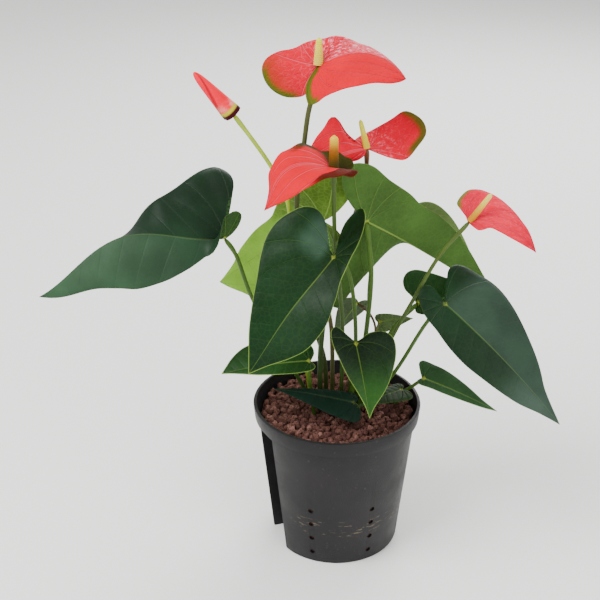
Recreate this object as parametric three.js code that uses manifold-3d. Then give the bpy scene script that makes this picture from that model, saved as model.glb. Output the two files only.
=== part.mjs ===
// Potted anthurium: a red-flowered house plant in a dark plastic culture pot filled with lava granules.
// Units are millimetres. The origin is the centre of the pot's base, +Z is up and the front faces -Y.
import * as THREE from 'three';
import { mergeVertices } from 'three/addons/utils/BufferGeometryUtils.js';
import Module from 'manifold-3d';

const wasm = await Module();
wasm.setup();

const DEG = Math.PI / 180;
const CLEARANCE = 0.3;

// Pot
const RIM_RADIUS = 65;
const POT_HEIGHT = 120;
const BASE_RADIUS = 50;
const WALL = 2;
const RIM_BAND_HEIGHT = 12;
const WALL_RADIUS_UNDER_RIM = 61;
const RIM_LIP = 1.2;
const POT_SIDES = 36;

// Recess down the pot's left side for a water gauge
const RECESS_ANGLE = -161;
const RECESS_WIDTH = 32;
const RECESS_DEPTH = 11;
const RECESS_TOP = 104;

// Drain holes in upright rows round the wall
const HOLE_RADIUS = 2;
const HOLE_SIDES = 6;
const HOLE_ROW_ANGLES = [-112, -61, -10, 41, 92, 143];
const HOLE_HEIGHTS = [10, 24, 38, 51];

// Lava granules
const SOIL_LEVEL = 111;
const GRANULE_RADIUS = 5.2;
const GRANULE_SPACING = 9.8;
const GRANULE_SINK = 1.4;

// Stems
const STEM_FOOT_DEPTH = 14;
const STEM_SIDES = 6;
const STEM_STEP = 26;
const STEM_END_GAP = 0.9;

// Blades
const LEAF_THICKNESS = 0.8;
const SPATHE_THICKNESS = 0.8;
const BLADE_RINGS = 3;
const MARGIN_STEP = 8;
const LIFT_REACH = 30;

const COLOURS = {
  pot: { color: 0x3f3d3d, roughness: 0.5 },
  granules: { color: 0x6e3c32, roughness: 0.95 },
  leaf: { color: 0x1d4227, roughness: 0.32 },
  youngLeaf: { color: 0x8fae72, roughness: 0.45 },
  petiole: { color: 0x6f963c, roughness: 0.5 },
  spathe: { color: 0xe8323f, roughness: 0.25 },
  spadix: { color: 0xe9d75a, roughness: 0.7 },
};

function random(seed) {
  let state = seed;
  return () => {
    state = (state * 1664525 + 1013904223) % 4294967296;
    return state / 4294967296;
  };
}

function toSolid(geometry) {
  const bare = geometry.clone();
  bare.deleteAttribute('normal');
  bare.deleteAttribute('uv');
  const merged = mergeVertices(bare, 1e-4);
  return new wasm.Manifold(new wasm.Mesh({
    numProp: 3,
    vertProperties: new Float32Array(merged.attributes.position.array),
    triVerts: new Uint32Array(merged.index.array),
  }));
}

function toGeometry(solid) {
  const mesh = solid.getMesh();
  const geometry = new THREE.BufferGeometry();
  geometry.setAttribute('position', new THREE.BufferAttribute(new Float32Array(mesh.vertProperties), 3));
  geometry.setIndex(new THREE.BufferAttribute(new Uint32Array(mesh.triVerts), 1));
  return geometry;
}

function largestBody(solid) {
  return solid.decompose().sort((a, b) => b.volume() - a.volume())[0];
}

function lathe(profile, sides = POT_SIDES) {
  const points = profile.map(([radius, height]) => new THREE.Vector2(radius, height));
  return new THREE.LatheGeometry(points, sides).rotateX(Math.PI / 2);
}

function polygon(radius, sides) {
  const corners = [];
  for (let i = 0; i < sides; i += 1) {
    const angle = (2 * Math.PI * i) / sides;
    corners.push(new THREE.Vector2(radius * Math.cos(angle), radius * Math.sin(angle)));
  }
  return new THREE.Shape(corners);
}

// Radius of the pot's outer wall at a height
function wallRadius(height) {
  return BASE_RADIUS + ((WALL_RADIUS_UNDER_RIM - BASE_RADIUS) * height) / (POT_HEIGHT - RIM_BAND_HEIGHT);
}

// The block that cuts the recess out of the wall, leaning with the wall's taper
function recessCut(grow = 0) {
  const outside = 20;
  const below = 10;
  const across = RECESS_DEPTH + outside + grow;
  const block = new THREE.BoxGeometry(across, RECESS_WIDTH + 2 * grow, RECESS_TOP + below + 2 * grow);
  block.translate(across / 2 - RECESS_DEPTH - grow, 0, (RECESS_TOP - below) / 2);
  const position = block.attributes.position;
  for (let i = 0; i < position.count; i += 1) {
    position.setX(i, position.getX(i) + wallRadius(position.getZ(i)));
  }
  return toSolid(block.rotateZ(RECESS_ANGLE * DEG));
}

function cavity(gap = 0) {
  const underRim = POT_HEIGHT - RIM_BAND_HEIGHT;
  return toSolid(lathe([
    [0, WALL + gap],
    [wallRadius(WALL) - WALL - gap, WALL + gap],
    [WALL_RADIUS_UNDER_RIM - WALL - gap, underRim - 1],
    [RIM_RADIUS - WALL - RIM_LIP - gap, underRim + 3],
    [RIM_RADIUS - WALL - gap, POT_HEIGHT + 5],
    [0, POT_HEIGHT + 5],
  ]));
}

function potGeometry() {
  const underRim = POT_HEIGHT - RIM_BAND_HEIGHT;
  const outside = toSolid(lathe([
    [0, 0],
    [BASE_RADIUS - 1.5, 0],
    [BASE_RADIUS, 1.5],
    [WALL_RADIUS_UNDER_RIM, underRim],
    [RIM_RADIUS - RIM_LIP, underRim + 0.5],
    [RIM_RADIUS, POT_HEIGHT - 1],
    [RIM_RADIUS - 0.8, POT_HEIGHT],
    [0, POT_HEIGHT],
  ]));
  const inside = cavity().subtract(recessCut(WALL));
  let pot = outside.subtract(recessCut()).subtract(inside);
  for (const angle of HOLE_ROW_ANGLES) {
    for (const height of HOLE_HEIGHTS) {
      const drill = new THREE.ExtrudeGeometry(polygon(HOLE_RADIUS, HOLE_SIDES), { depth: 12, bevelEnabled: false });
      drill.rotateY(Math.PI / 2).translate(wallRadius(height) - 6, 0, height).rotateZ(angle * DEG);
      pot = pot.subtract(toSolid(drill));
    }
  }
  return toGeometry(largestBody(pot));
}

// One angular lava granule: an octahedron with its corners pulled in and out
function granule(size, draw) {
  const rock = new THREE.OctahedronGeometry(size);
  rock.deleteAttribute('normal');
  rock.deleteAttribute('uv');
  const merged = mergeVertices(rock, 1e-4);
  const position = merged.attributes.position;
  for (let i = 0; i < position.count; i += 1) {
    const pull = 0.8 + 0.4 * draw();
    position.setXYZ(i, position.getX(i) * pull, position.getY(i) * pull, position.getZ(i) * pull);
  }
  return merged.rotateX(draw() * Math.PI).rotateZ(draw() * 2 * Math.PI);
}

// Bed of granules fused into one solid, with a plain hole for each stem
function substrateGeometry(stemHoles) {
  const draw = random(7);
  const bed = cavity(CLEARANCE).intersect(toSolid(lathe([
    [0, 0],
    [RIM_RADIUS + 5, 0],
    [RIM_RADIUS + 5, SOIL_LEVEL],
    [0, SOIL_LEVEL],
  ])));
  const reach = RIM_RADIUS - WALL - RIM_LIP - CLEARANCE - GRANULE_RADIUS * 1.25;
  const rows = Math.ceil(reach / GRANULE_SPACING) + 1;
  let soil = bed;
  for (let row = -rows; row <= rows; row += 1) {
    for (let column = -rows; column <= rows; column += 1) {
      const x = (column + (row % 2 === 0 ? 0 : 0.5)) * GRANULE_SPACING + (draw() - 0.5) * 1.6;
      const y = row * GRANULE_SPACING * Math.sqrt(0.75) + (draw() - 0.5) * 1.6;
      const size = GRANULE_RADIUS * (0.85 + 0.35 * draw());
      const rock = granule(size, draw).translate(x, y, SOIL_LEVEL - GRANULE_SINK + 1.2 * draw());
      if (Math.hypot(x, y) < reach) {
        soil = soil.add(toSolid(rock));
      }
    }
  }
  soil = soil.subtract(recessCut(WALL + CLEARANCE));
  for (const hole of stemHoles) {
    soil = soil.subtract(hole);
  }
  return toGeometry(largestBody(soil));
}

// Heart-shaped half margin for the small leaves, from a half width and a lobe length
const HEART = [
  [-0.6, 0.12], [-0.95, 0.34], [-1, 0.6], [-0.6, 0.9], [0, 1],
  [0.15, 0.96], [0.3, 0.85], [0.5, 0.63], [0.7, 0.38], [0.86, 0.17],
];

function heart(side, length) {
  return HEART.map(([along, across]) => [along < 0 ? along * side.lobe : along * length, across * side.width]);
}

// The blade's own frame: from its junction with the stem to its tip, its upper side towards "facing"
function bladeFrame(blade) {
  const ahead = new THREE.Vector3(...blade.tip).sub(new THREE.Vector3(...blade.junction));
  const chord = ahead.length();
  ahead.normalize();
  const up = new THREE.Vector3(...blade.facing);
  up.addScaledVector(ahead, -up.dot(ahead)).normalize();
  const left = new THREE.Vector3().crossVectors(up, ahead);
  const frame = new THREE.Matrix4().makeBasis(ahead, left, up).setPosition(...blade.junction);
  return { chord, frame };
}

// Fills in a blade's midrib, which turns down by "arch" degrees, more towards the tip when "bow" is over 1.
// The sinus is where the two lobes part, just behind the junction: [along, across to the left].
function completeBlade(given) {
  const blade = { arch: 20, bow: 1, sway: 0, lift: 0, sinus: [-1.5, 0], ...given };
  const { chord, frame } = bladeFrame(blade);
  const count = 60;
  const steps = [new THREE.Vector2()];
  for (let i = 0; i < count; i += 1) {
    const angle = -blade.arch * DEG * ((i + 0.5) / count) ** blade.bow;
    steps.push(new THREE.Vector2(Math.cos(angle), Math.sin(angle)).divideScalar(count).add(steps[i]));
  }
  const end = steps[count];
  const length = chord / end.length();
  const start = -end.angle() + (end.y < 0 ? 2 * Math.PI : 0);
  const midrib = steps.map((step) => step.clone().rotateAround(new THREE.Vector2(), start).multiplyScalar(length));
  const sides = [blade.left, blade.right].map((side) => {
    const margin = side.margin ?? heart(side, length);
    return { fold: [[0, 4]], curl: -10, ...side, margin, reach: Math.max(...margin.map(([, across]) => across)) };
  });
  return { ...blade, frame, length, start, midrib, sides };
}

// Fold of one half about the midrib, in degrees, eased between the places where it is given
function foldAt(side, along) {
  let fold = side.fold[0][1];
  for (let i = 1; i < side.fold.length; i += 1) {
    const [from, before] = side.fold[i - 1];
    const [to, after] = side.fold[i];
    fold += (after - before) * THREE.MathUtils.smoothstep(along, from, to);
  }
  return fold;
}

// Bends a flat point of a blade (along the midrib, across it) into the blade's own space
function bend(blade, along, across, which) {
  const side = blade.sides[which];
  const share = THREE.MathUtils.clamp(along / blade.length, 0, 1);
  const place = share * (blade.midrib.length - 1);
  const before = Math.min(Math.floor(place), blade.midrib.length - 2);
  const rib = blade.midrib[before].clone().lerp(blade.midrib[before + 1], place - before);
  let angle = blade.start - blade.arch * DEG * share ** blade.bow;
  if (along < 0) {
    angle = blade.start + (blade.lift * DEG * along) / LIFT_REACH;
    const middle = (blade.start + angle) / 2;
    rib.set(along * Math.cos(middle), along * Math.sin(middle));
  }
  const slope = (foldAt(side, along) + (0.5 * side.curl * across) / side.reach) * DEG;
  const up = across * Math.sin(slope);
  const sideways = (which === 0 ? 1 : -1) * across * Math.cos(slope) + blade.sway * Math.sin(Math.PI * share) ** 2;
  return new THREE.Vector3(rib.x - up * Math.sin(angle), sideways, rib.y + up * Math.cos(angle));
}

function marginPoints(blade, which) {
  const [along, across] = blade.sinus;
  const flat = [[along, which === 0 ? across : -across], ...blade.sides[which].margin, [blade.length, 0]];
  const points = flat.map(([x, y]) => new THREE.Vector3(x, y, 0));
  const curve = new THREE.CatmullRomCurve3(points, false, 'centripetal');
  return curve.getSpacedPoints(THREE.MathUtils.clamp(Math.round(curve.getLength() / MARGIN_STEP), 9, 18));
}

// Closed solid of a blade: rings from the junction out to the margin, on both faces alike
function bladeGeometry(blade, thickness) {
  const margin = [];
  marginPoints(blade, 0).forEach((point) => margin.push([point, 0]));
  marginPoints(blade, 1).reverse().slice(1, -1).forEach((point) => margin.push([point, 1]));
  const points = [bend(blade, 0, 0, 0)];
  for (let ring = 1; ring <= BLADE_RINGS; ring += 1) {
    const share = ring / BLADE_RINGS;
    margin.forEach(([point, which]) => points.push(bend(blade, point.x * share, point.y * share, which)));
  }
  const around = margin.length;
  const at = (ring, step) => 1 + (ring - 1) * around + (step % around);
  const upper = [];
  for (let step = 0; step < around; step += 1) {
    upper.push([0, at(1, step + 1), at(1, step)]);
    for (let ring = 1; ring < BLADE_RINGS; ring += 1) {
      upper.push([at(ring, step), at(ring, step + 1), at(ring + 1, step + 1)]);
      upper.push([at(ring, step), at(ring + 1, step + 1), at(ring + 1, step)]);
    }
  }
  const sheet = new THREE.BufferGeometry().setFromPoints(points);
  sheet.setIndex(upper.flat());
  sheet.computeVertexNormals();
  const normal = sheet.attributes.normal;
  const vertices = [];
  for (const offset of [thickness / 2, -thickness / 2]) {
    points.forEach((point, i) => vertices.push(
      new THREE.Vector3().fromBufferAttribute(normal, i).multiplyScalar(offset).add(point)));
  }
  const below = points.length;
  const triangles = [];
  upper.forEach(([a, b, c]) => triangles.push(a, b, c, a + below, c + below, b + below));
  for (let step = 0; step < around; step += 1) {
    const a = at(BLADE_RINGS, step);
    const b = at(BLADE_RINGS, step + 1);
    triangles.push(a, b, a + below, b, b + below, a + below);
  }
  const solid = new THREE.BufferGeometry().setFromPoints(vertices);
  solid.setIndex(triangles);
  return solid.applyMatrix4(blade.frame);
}

// A stem rises straight from its foot in the granules, follows its points and ends just under its top
function stemGeometry(stem, top, extra = 0) {
  const [x, y] = stem.foot;
  const points = [[x, y, SOIL_LEVEL - STEM_FOOT_DEPTH], [x, y, SOIL_LEVEL + 2], ...stem.path, top]
    .map((point) => new THREE.Vector3(...point));
  const end = points[points.length - 1];
  end.addScaledVector(points[points.length - 2].clone().sub(end).normalize(), STEM_END_GAP);
  const path = new THREE.CatmullRomCurve3(points, false, 'centripetal');
  return new THREE.ExtrudeGeometry(polygon(stem.radius + extra, STEM_SIDES), {
    steps: Math.max(3, Math.round(path.getLength() / STEM_STEP)),
    bevelEnabled: false,
    extrudePath: path,
  });
}

// Each blade's left and right halves are seen from its stem, looking to the tip with the upper side up.
// A margin lists [along, across] from the notch round the lobe to the tip; a fold lists [along, degrees].
const LEAVES = {
  left: {
    junction: [-83, -10, 260], tip: [-216, -30, 223], facing: [0, -0.78, 0.62], arch: 50, sway: -19,
    left: {
      margin: [
        [-6, 3], [-11, 10], [-12, 18], [-7, 22], [-1, 20], [7, 15],
        [18, 14], [34, 26], [52, 36], [70, 39], [84, 33], [102, 22], [126, 10],
      ],
      fold: [[0, 130], [18, 8], [60, 0]],
    },
    right: {
      margin: [
        [-6, 14], [-10, 25], [-20, 38], [-22, 49], [-14, 58], [-4, 58],
        [9, 53], [24, 43], [39, 32], [54, 24], [66, 17], [85, 12], [110, 7],
      ],
      fold: [[0, 0], [35, -8], [80, -75]], curl: -14,
    },
    stem: { radius: 1.6, foot: [-20, 6], path: [[-45, 4, 165], [-65, -3, 211], [-76, -8, 248]] },
  },
  front: {
    junction: [-5, -35, 256], tip: [-65, -70, 182], facing: [-0.1, -0.9, 0.4], arch: 16, sway: -2,
    sinus: [-1.3, -0.8],
    left: {
      margin: [
        [-9, -5], [-20, -12], [-30, -18], [-39, -18], [-43, -12], [-38, 0], [-28, 9], [-14, 14],
        [0, 16], [12, 17], [25, 22], [40, 27], [52, 27], [64, 25], [76, 18], [89, 8],
      ],
      fold: [[-40, 60], [-10, 50], [25, 25], [60, 12], [100, 10]], curl: -4,
    },
    right: {
      margin: [
        [-3, 5], [-12, 14], [-19, 23], [-21, 31], [-17, 39], [-9, 44],
        [3, 48], [16, 47], [28, 42], [44, 33], [60, 25], [76, 17], [90, 8],
      ],
      curl: -15,
    },
    stem: { radius: 2.1, foot: [-13, -2], path: [[-13, -8, 170], [-8, -18, 225]] },
  },
  back_left: {
    junction: [-12, 25, 259], tip: [-94, 75, 186], facing: [-0.15, 0.95, 0.12], arch: 24, lift: 20,
    left: {
      margin: [
        [-20, 2], [-40, 9], [-49, 24], [-45, 38], [-30, 46], [-7, 43],
        [23, 29], [35, 23], [56, 20], [72, 16], [85, 12], [98, 6], [112, 2],
      ],
      fold: [[-50, 14], [-10, 6]],
    },
    right: {
      margin: [[-1, 14], [9, 31], [37, 49], [74, 56], [98, 50], [114, 37], [118, 22], [121, 9]],
      fold: [[0, 6]],
    },
    stem: { radius: 1.6, foot: [9, 4], path: [[14, 6, 168], [7, 8, 227], [-4, 13, 245]] },
  },
  back_right: {
    junction: [21, 20, 261], tip: [132, 75, 172], facing: [-0.2, 0.95, 0.15], arch: 20,
    left: {
      margin: [
        [-5, 10], [-8, 28], [0, 50], [14, 67], [30, 74], [43, 70],
        [56, 46], [76, 31], [100, 21], [125, 12], [140, 6],
      ],
      fold: [[36, 0], [58, 88]], curl: -7,
    },
    right: {
      margin: [
        [-15, 3], [-35, 11], [-49, 22], [-49, 33], [-34, 39], [-8, 36],
        [19, 34], [34, 31], [54, 31], [70, 29], [84, 26], [105, 19], [130, 9],
      ],
      fold: [[0, 6]], curl: -5,
    },
    stem: { radius: 1.9, foot: [15, 10], path: [[22, 12, 171], [25, 16, 221]] },
  },
  folded_young: {
    junction: [67, 85, 238], tip: [116, 98, 192], facing: [0.1, 0.6, 0.8], arch: 14, colour: 'youngLeaf',
    left: { width: 18, lobe: 12, fold: [[0, 30]] },
    right: { width: 20, lobe: 12, fold: [[0, 30]] },
    stem: {
      radius: 1.2, foot: [22, 36],
      path: [[24, 46, 138], [26.5, 59, 161], [27, 68, 186], [31.5, 84, 203], [51, 95, 223]],
    },
  },
  right: {
    junction: [78, -15, 210], tip: [163, -50, 128], facing: [0.35, -0.75, 0.56], arch: 22, sinus: [-1.4, 0.4],
    left: {
      margin: [
        [-12, 17], [-16, 25], [-15, 32], [-9, 37], [2, 40], [14, 43],
        [25, 43], [38, 40], [51, 35], [64, 29], [76, 23], [86, 17], [96, 10], [108, 5],
      ],
      fold: [[0, -2]], curl: -12,
    },
    right: {
      margin: [
        [-7, -2], [-17, -3], [-21, 1], [-20, 7], [-15, 12], [-4, 17],
        [8, 19], [23, 22], [41, 23], [58, 21], [75, 18], [90, 14], [106, 7],
      ],
      fold: [[0, -10]],
    },
    stem: { radius: 1.5, foot: [20, 3], path: [[42, 0, 141], [67, -8, 193]] },
  },
  right_inner: {
    junction: [61, 12, 198], tip: [107, 8, 210], facing: [0.1, -0.9, 0.4], arch: 16,
    left: { margin: [[-4, 6], [-8, 12], [-8, 19], [-4, 24], [3, 25], [13, 21], [24, 15], [38, 6]] },
    right: { margin: [[-3, 3], [-3, 7], [3, 10], [14, 11], [26, 8], [38, 4]] },
    stem: { radius: 1.6, foot: [22, 10], path: [[42, 8, 177]] },
  },
  low_right: {
    junction: [68, 10, 133], tip: [125, -5, 112], facing: [0.2, -0.6, 0.8], arch: 16,
    left: { margin: [[-6, 7], [-8, 12], [-6, 15], [4, 15], [14, 14], [32, 9], [49, 3]] },
    right: { margin: [[-4, 4], [-2, 6], [8, 6], [21, 6], [36, 5], [51, 3]], curl: -5 },
    stem: { radius: 1.2, foot: [38, 12], path: [[46, 12, 117], [57, 12, 123]] },
  },
  small_front: {
    junction: [12, -32, 186], tip: [22, -58, 138], facing: [0.1, -0.8, 0.6],
    left: {
      margin: [[-3, 5], [-6, 11], [-6, 18], [-4, 24], [1, 28], [11, 28], [26, 22], [37, 15], [48, 5]],
      fold: [[0, 8]],
    },
    right: {
      margin: [[-7, 6], [-12, 11], [-14, 15], [-11, 19], [-1, 20], [9, 17], [22, 12], [35, 6], [46, 2]],
      fold: [[0, 30], [50, 8]],
    },
    stem: { radius: 1.5, foot: [10, -5], path: [[12, -14, 150]] },
  },
  low_left: {
    junction: [-22, -22, 166], tip: [-87, -30, 159.5], facing: [0, -0.45, 0.9],
    left: { margin: [[-4, 5], [-2, 8], [8, 10], [20, 10], [38, 8], [52, 4], [60, 1.5]], fold: [[0, 6]] },
    right: { margin: [[-5, 7], [-3, 15], [12, 22], [30, 22], [46, 19], [56, 12], [62, 5]], fold: [[0, 6]] },
    stem: { radius: 1.4, foot: [-18, -9], path: [[-21, -13, 142]] },
  },
  over_granules: {
    junction: [12, -20, 129], tip: [-48, -30, 147], facing: [0, -0.5, 0.87], arch: 12,
    left: { width: 17, lobe: 6 },
    right: { width: 8, lobe: 4 },
    stem: { radius: 1.3, foot: [17, -14], path: [[16, -16, 121]] },
  },
  granules_right: {
    junction: [50, 1, 128], tip: [14, -24, 127], facing: [0.1, -0.2, 1], arch: 12,
    left: { width: 12, lobe: 5 },
    right: { width: 8, lobe: 5 },
    stem: { radius: 1.3, foot: [47, 6], path: [[50, 5, 122]] },
  },
  pale_centre: {
    junction: [17, 50, 179], tip: [-1, 55, 147], facing: [-0.2, 0.8, 0.5], arch: 16, colour: 'youngLeaf',
    left: { width: 15, lobe: 5 },
    right: { width: 12, lobe: 5 },
    stem: { radius: 1, foot: [4, 16], path: [[31, 36, 160], [27, 44, 172]] },
  },
  pale_right: {
    junction: [35, 50, 162], tip: [63, 57, 162], facing: [0.1, -0.7, 0.7], colour: 'youngLeaf',
    left: { width: 7, lobe: 3 },
    right: { width: 9, lobe: 3 },
    stem: { radius: 1, foot: [16, 18], path: [[31, 42, 152]] },
  },
};

const BLOOMS = {
  top: {
    junction: [-16, 10, 381], tip: [44, 0, 374], facing: [0, -0.2, 0.97], arch: 87, bow: 1.5, sway: 4,
    sinus: [-1.1, -1.1],
    left: {
      margin: [
        [-12, -12], [-19, -15], [-31, -12], [-38, -5], [-41, 4], [-39, 14], [-33, 19], [-23, 20],
        [-14, 18], [-4, 19], [6, 22], [18, 22], [28, 19], [42, 9], [56, 3],
      ],
      fold: [[-28, 80], [-8, 58], [8, 25], [30, -5], [60, -10]], curl: -5,
    },
    right: {
      margin: [
        [-4, 6], [-8, 14], [-9, 22], [-8, 31], [-6, 37], [0, 38], [6, 36],
        [20, 35], [34, 33], [47, 26], [58, 18], [65, 8],
      ],
      fold: [[0, -11]], curl: -11,
    },
    spadix: { lean: [0.02, 0, 1], length: 19.4, radius: 3.6 },
    stem: {
      radius: 1.9, foot: [-8, 12],
      path: [[-10, 11, 150], [-22, 8, 195], [-31, 1, 282], [-26, 1, 326], [-22.5, 4, 351], [-18, 7, 366]],
    },
  },
  front: {
    junction: [-6, -40, 322], tip: [-52, -75, 307], facing: [-0.1, -0.2, 1], arch: 100, sway: -8,
    left: {
      margin: [
        [-8, 1], [-16, 4], [-15, 8], [-8, 15], [0, 20], [10, 24], [20, 24], [30, 24], [40, 22], [50, 17], [60, 8],
      ],
      fold: [[-16, 46], [-2, 24], [20, 2], [35, -6], [60, -10]], curl: -5,
    },
    right: {
      margin: [
        [-12, 4], [-18, 10], [-15, 14], [-8, 15], [0, 22], [10, 26],
        [20, 21], [30, 18], [40, 17], [50, 12], [60, 4],
      ],
      fold: [[-18, 75], [-8, 60], [0, 22], [10, 20], [25, 10], [40, -15], [55, -30]], curl: -6,
    },
    spadix: { lean: [0, 0, 1], length: 25, radius: 3.6 },
    stem: { radius: 1.6, foot: [3, -2], path: [[3, -8, 189], [0, -13, 226], [-4, -23, 265]] },
  },
  middle: {
    junction: [19, 10, 321], tip: [-27, -15, 314], facing: [0, -0.4, 1], lift: 40, sinus: [-1, 1.1],
    left: { margin: [[0, 4], [6, 8], [14, 8], [24, 8], [36, 7], [46, 4]], fold: [[0, -80]], curl: -2 },
    right: {
      margin: [
        [-8, -9], [-15, -16], [-20, -19], [-31, -16], [-40, -13], [-44, -5], [-43, 6], [-40, 11], [-28, 13],
        [-17, 14], [-2, 13], [4, 10], [9, 7], [12, 11], [17, 20], [21, 27], [24, 27], [30, 22], [38, 17], [46, 9],
      ],
      fold: [[-30, 20], [0, 10], [8, 25], [20, 58], [45, 65]], curl: -5,
    },
    spadix: { lean: [-0.25, 0, 1], length: 22, radius: 2.6 },
    stem: {
      radius: 1.8, foot: [-3, 16],
      path: [[-4, 30, 165], [-8, 33, 195], [-3, 29, 225], [9, 29, 252], [19, 22, 296]],
    },
  },
  right: {
    junction: [94, 0, 269], tip: [141, -15, 251], facing: [0.1, -0.4, 0.9], arch: 80, bow: 1.2,
    left: {
      margin: [
        [-5, 6], [-10, 13], [-17, 21], [-17, 32], [-14, 39], [-6, 39], [4, 34],
        [16, 29], [27, 23], [36, 16], [44, 11], [51, 5],
      ],
      fold: [[0, 6], [30, -4]], curl: -13,
    },
    right: { margin: [[5, 6], [10, 9], [13, 8], [17, 5], [24, 6], [34, 7], [46, 5]], fold: [[0, 0]], curl: -5 },
    spadix: { lean: [0.5, -0.1, 0.8], length: 27, radius: 2.5 },
    stem: { radius: 1.5, foot: [16, -3], path: [[42, -2, 178], [54, -4, 205], [74, -2, 244]] },
  },
};

const BUD = {
  base: [-75, -5, 351],
  tip: [-101, -10, 382],
  radius: 6.2,
  stem: { radius: 1.6, foot: [-20, 14], path: [[-32, 8, 200], [-38, 0, 286], [-49, -1, 311], [-62, -3, 332]] },
};

const group = new THREE.Group();
const stemHoles = [];

function addMesh(name, geometry, finish) {
  const mesh = new THREE.Mesh(geometry, new THREE.MeshStandardMaterial({ metalness: 0, ...finish }));
  mesh.name = name;
  group.add(mesh);
}

// Adds a stem that stops just short of the blade or bud that it carries
function addStem(name, stem, top, keepOff) {
  stemHoles.push(toSolid(stemGeometry(stem, top, CLEARANCE)));
  addMesh(name, trimmed(stemGeometry(stem, top), keepOff), COLOURS.petiole);
}

function trimmed(geometry, keepOff) {
  let solid = toSolid(geometry);
  keepOff.forEach((other) => {
    solid = solid.subtract(toSolid(other));
  });
  return toGeometry(largestBody(solid));
}

// What a blade keeps free for itself, so that a stem or spadix ends just short of it
function bladeKeepOff(blade, thickness) {
  return [bladeGeometry(blade, thickness + 3 * CLEARANCE), bladeGeometry(blade, thickness)];
}

// Spadix: a tapering rod covered with rows of florets, each row turned half a floret from the last
function spadixGeometry(bloom) {
  const { lean, length, radius } = bloom.spadix;
  const rows = 12;
  const sides = 10;
  const profile = [[0, 0]];
  for (let row = 0; row <= rows; row += 1) {
    const share = row / rows;
    const girth = radius * (1 - 0.3 * share) * (row === rows ? 0.6 : 1);
    profile.push([girth, length * share]);
  }
  profile.push([0, length]);
  const geometry = lathe(profile, sides);
  const position = geometry.attributes.position;
  for (let i = 0; i < position.count; i += 1) {
    const row = i % profile.length;
    const line = Math.floor(i / profile.length) % sides;
    const bump = row > 1 && row < profile.length - 2 && (row + line) % 2 === 0 ? 1 : 0.88;
    position.setX(i, position.getX(i) * bump);
    position.setY(i, position.getY(i) * bump);
  }
  const up = new THREE.Vector3(...lean).normalize();
  const turn = new THREE.Quaternion().setFromUnitVectors(new THREE.Vector3(0, 0, 1), up);
  return geometry.applyQuaternion(turn).translate(...bloom.junction);
}

// Closed bud: the spathe rolled round itself, its free edge standing out as a step that winds round the bud
function budGeometry() {
  const axis = new THREE.Vector3(...BUD.tip).sub(new THREE.Vector3(...BUD.base));
  const length = axis.length();
  const sides = 14;
  const rows = 8;
  const edgeStep = 0.16;
  const winding = 2.4;
  const profile = [[0, 0]];
  for (let row = 0; row <= rows; row += 1) {
    const share = row / rows;
    profile.push([BUD.radius * (1 - 0.62 * share) * Math.sqrt(1 - share ** 10) + 0.1, length * share * 0.98]);
  }
  profile.push([0, length]);
  const geometry = lathe(profile, sides);
  const position = geometry.attributes.position;
  for (let i = 0; i < position.count; i += 1) {
    const line = Math.floor(i / profile.length) % sides;
    const swell = 1 + edgeStep * (line / sides);
    const around = (winding * position.getZ(i)) / length;
    const x = position.getX(i) * swell;
    const y = position.getY(i) * swell;
    position.setX(i, x * Math.cos(around) - y * Math.sin(around));
    position.setY(i, x * Math.sin(around) + y * Math.cos(around));
  }
  geometry.applyQuaternion(new THREE.Quaternion().setFromUnitVectors(new THREE.Vector3(0, 0, 1), axis.normalize()));
  return geometry.translate(...BUD.base);
}

for (const [name, given] of Object.entries(LEAVES)) {
  const blade = completeBlade(given);
  addMesh(`leaf_${name}`, bladeGeometry(blade, LEAF_THICKNESS), COLOURS[given.colour ?? 'leaf']);
  addStem(`petiole_${name}`, given.stem, given.junction, bladeKeepOff(blade, LEAF_THICKNESS));
}
for (const [name, given] of Object.entries(BLOOMS)) {
  const blade = completeBlade(given);
  const keepOff = bladeKeepOff(blade, SPATHE_THICKNESS);
  addMesh(`spathe_${name}`, bladeGeometry(blade, SPATHE_THICKNESS), COLOURS.spathe);
  addMesh(`spadix_${name}`, trimmed(spadixGeometry(given), keepOff), COLOURS.spadix);
  addStem(`peduncle_${name}`, given.stem, given.junction, keepOff);
}
addMesh('spathe_bud', budGeometry(), COLOURS.spathe);
addStem('peduncle_bud', BUD.stem, BUD.base, [budGeometry()]);

addMesh('pot', potGeometry(), COLOURS.pot);
addMesh('granules', substrateGeometry(stemHoles), COLOURS.granules);

export default group;
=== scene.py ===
"""Looks of the potted anthurium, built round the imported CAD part.

Working units are millimetres; a mesh is turned into metres when its object is made.
"""
import itertools
import math

import bpy
import numpy as np
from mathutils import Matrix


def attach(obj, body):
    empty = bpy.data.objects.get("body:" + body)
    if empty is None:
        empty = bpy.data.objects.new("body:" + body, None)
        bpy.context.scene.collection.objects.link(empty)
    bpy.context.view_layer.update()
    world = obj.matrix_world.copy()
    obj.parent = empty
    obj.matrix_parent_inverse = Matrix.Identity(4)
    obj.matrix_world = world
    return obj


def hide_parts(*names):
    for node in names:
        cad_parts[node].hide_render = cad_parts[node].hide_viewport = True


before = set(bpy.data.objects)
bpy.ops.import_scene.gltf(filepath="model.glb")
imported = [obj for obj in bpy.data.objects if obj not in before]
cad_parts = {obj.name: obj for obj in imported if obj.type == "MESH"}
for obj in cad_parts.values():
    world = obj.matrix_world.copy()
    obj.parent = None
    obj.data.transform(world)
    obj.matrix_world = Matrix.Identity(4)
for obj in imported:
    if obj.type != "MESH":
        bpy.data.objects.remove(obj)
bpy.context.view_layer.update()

MM = 0.001

# Camera: the photograph's view
CAMERA_AT = (-0.0287, -0.7842, 0.5858)
CAMERA_DOWN = 25.84
LENS = 69.96
SENSOR = 36

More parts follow.
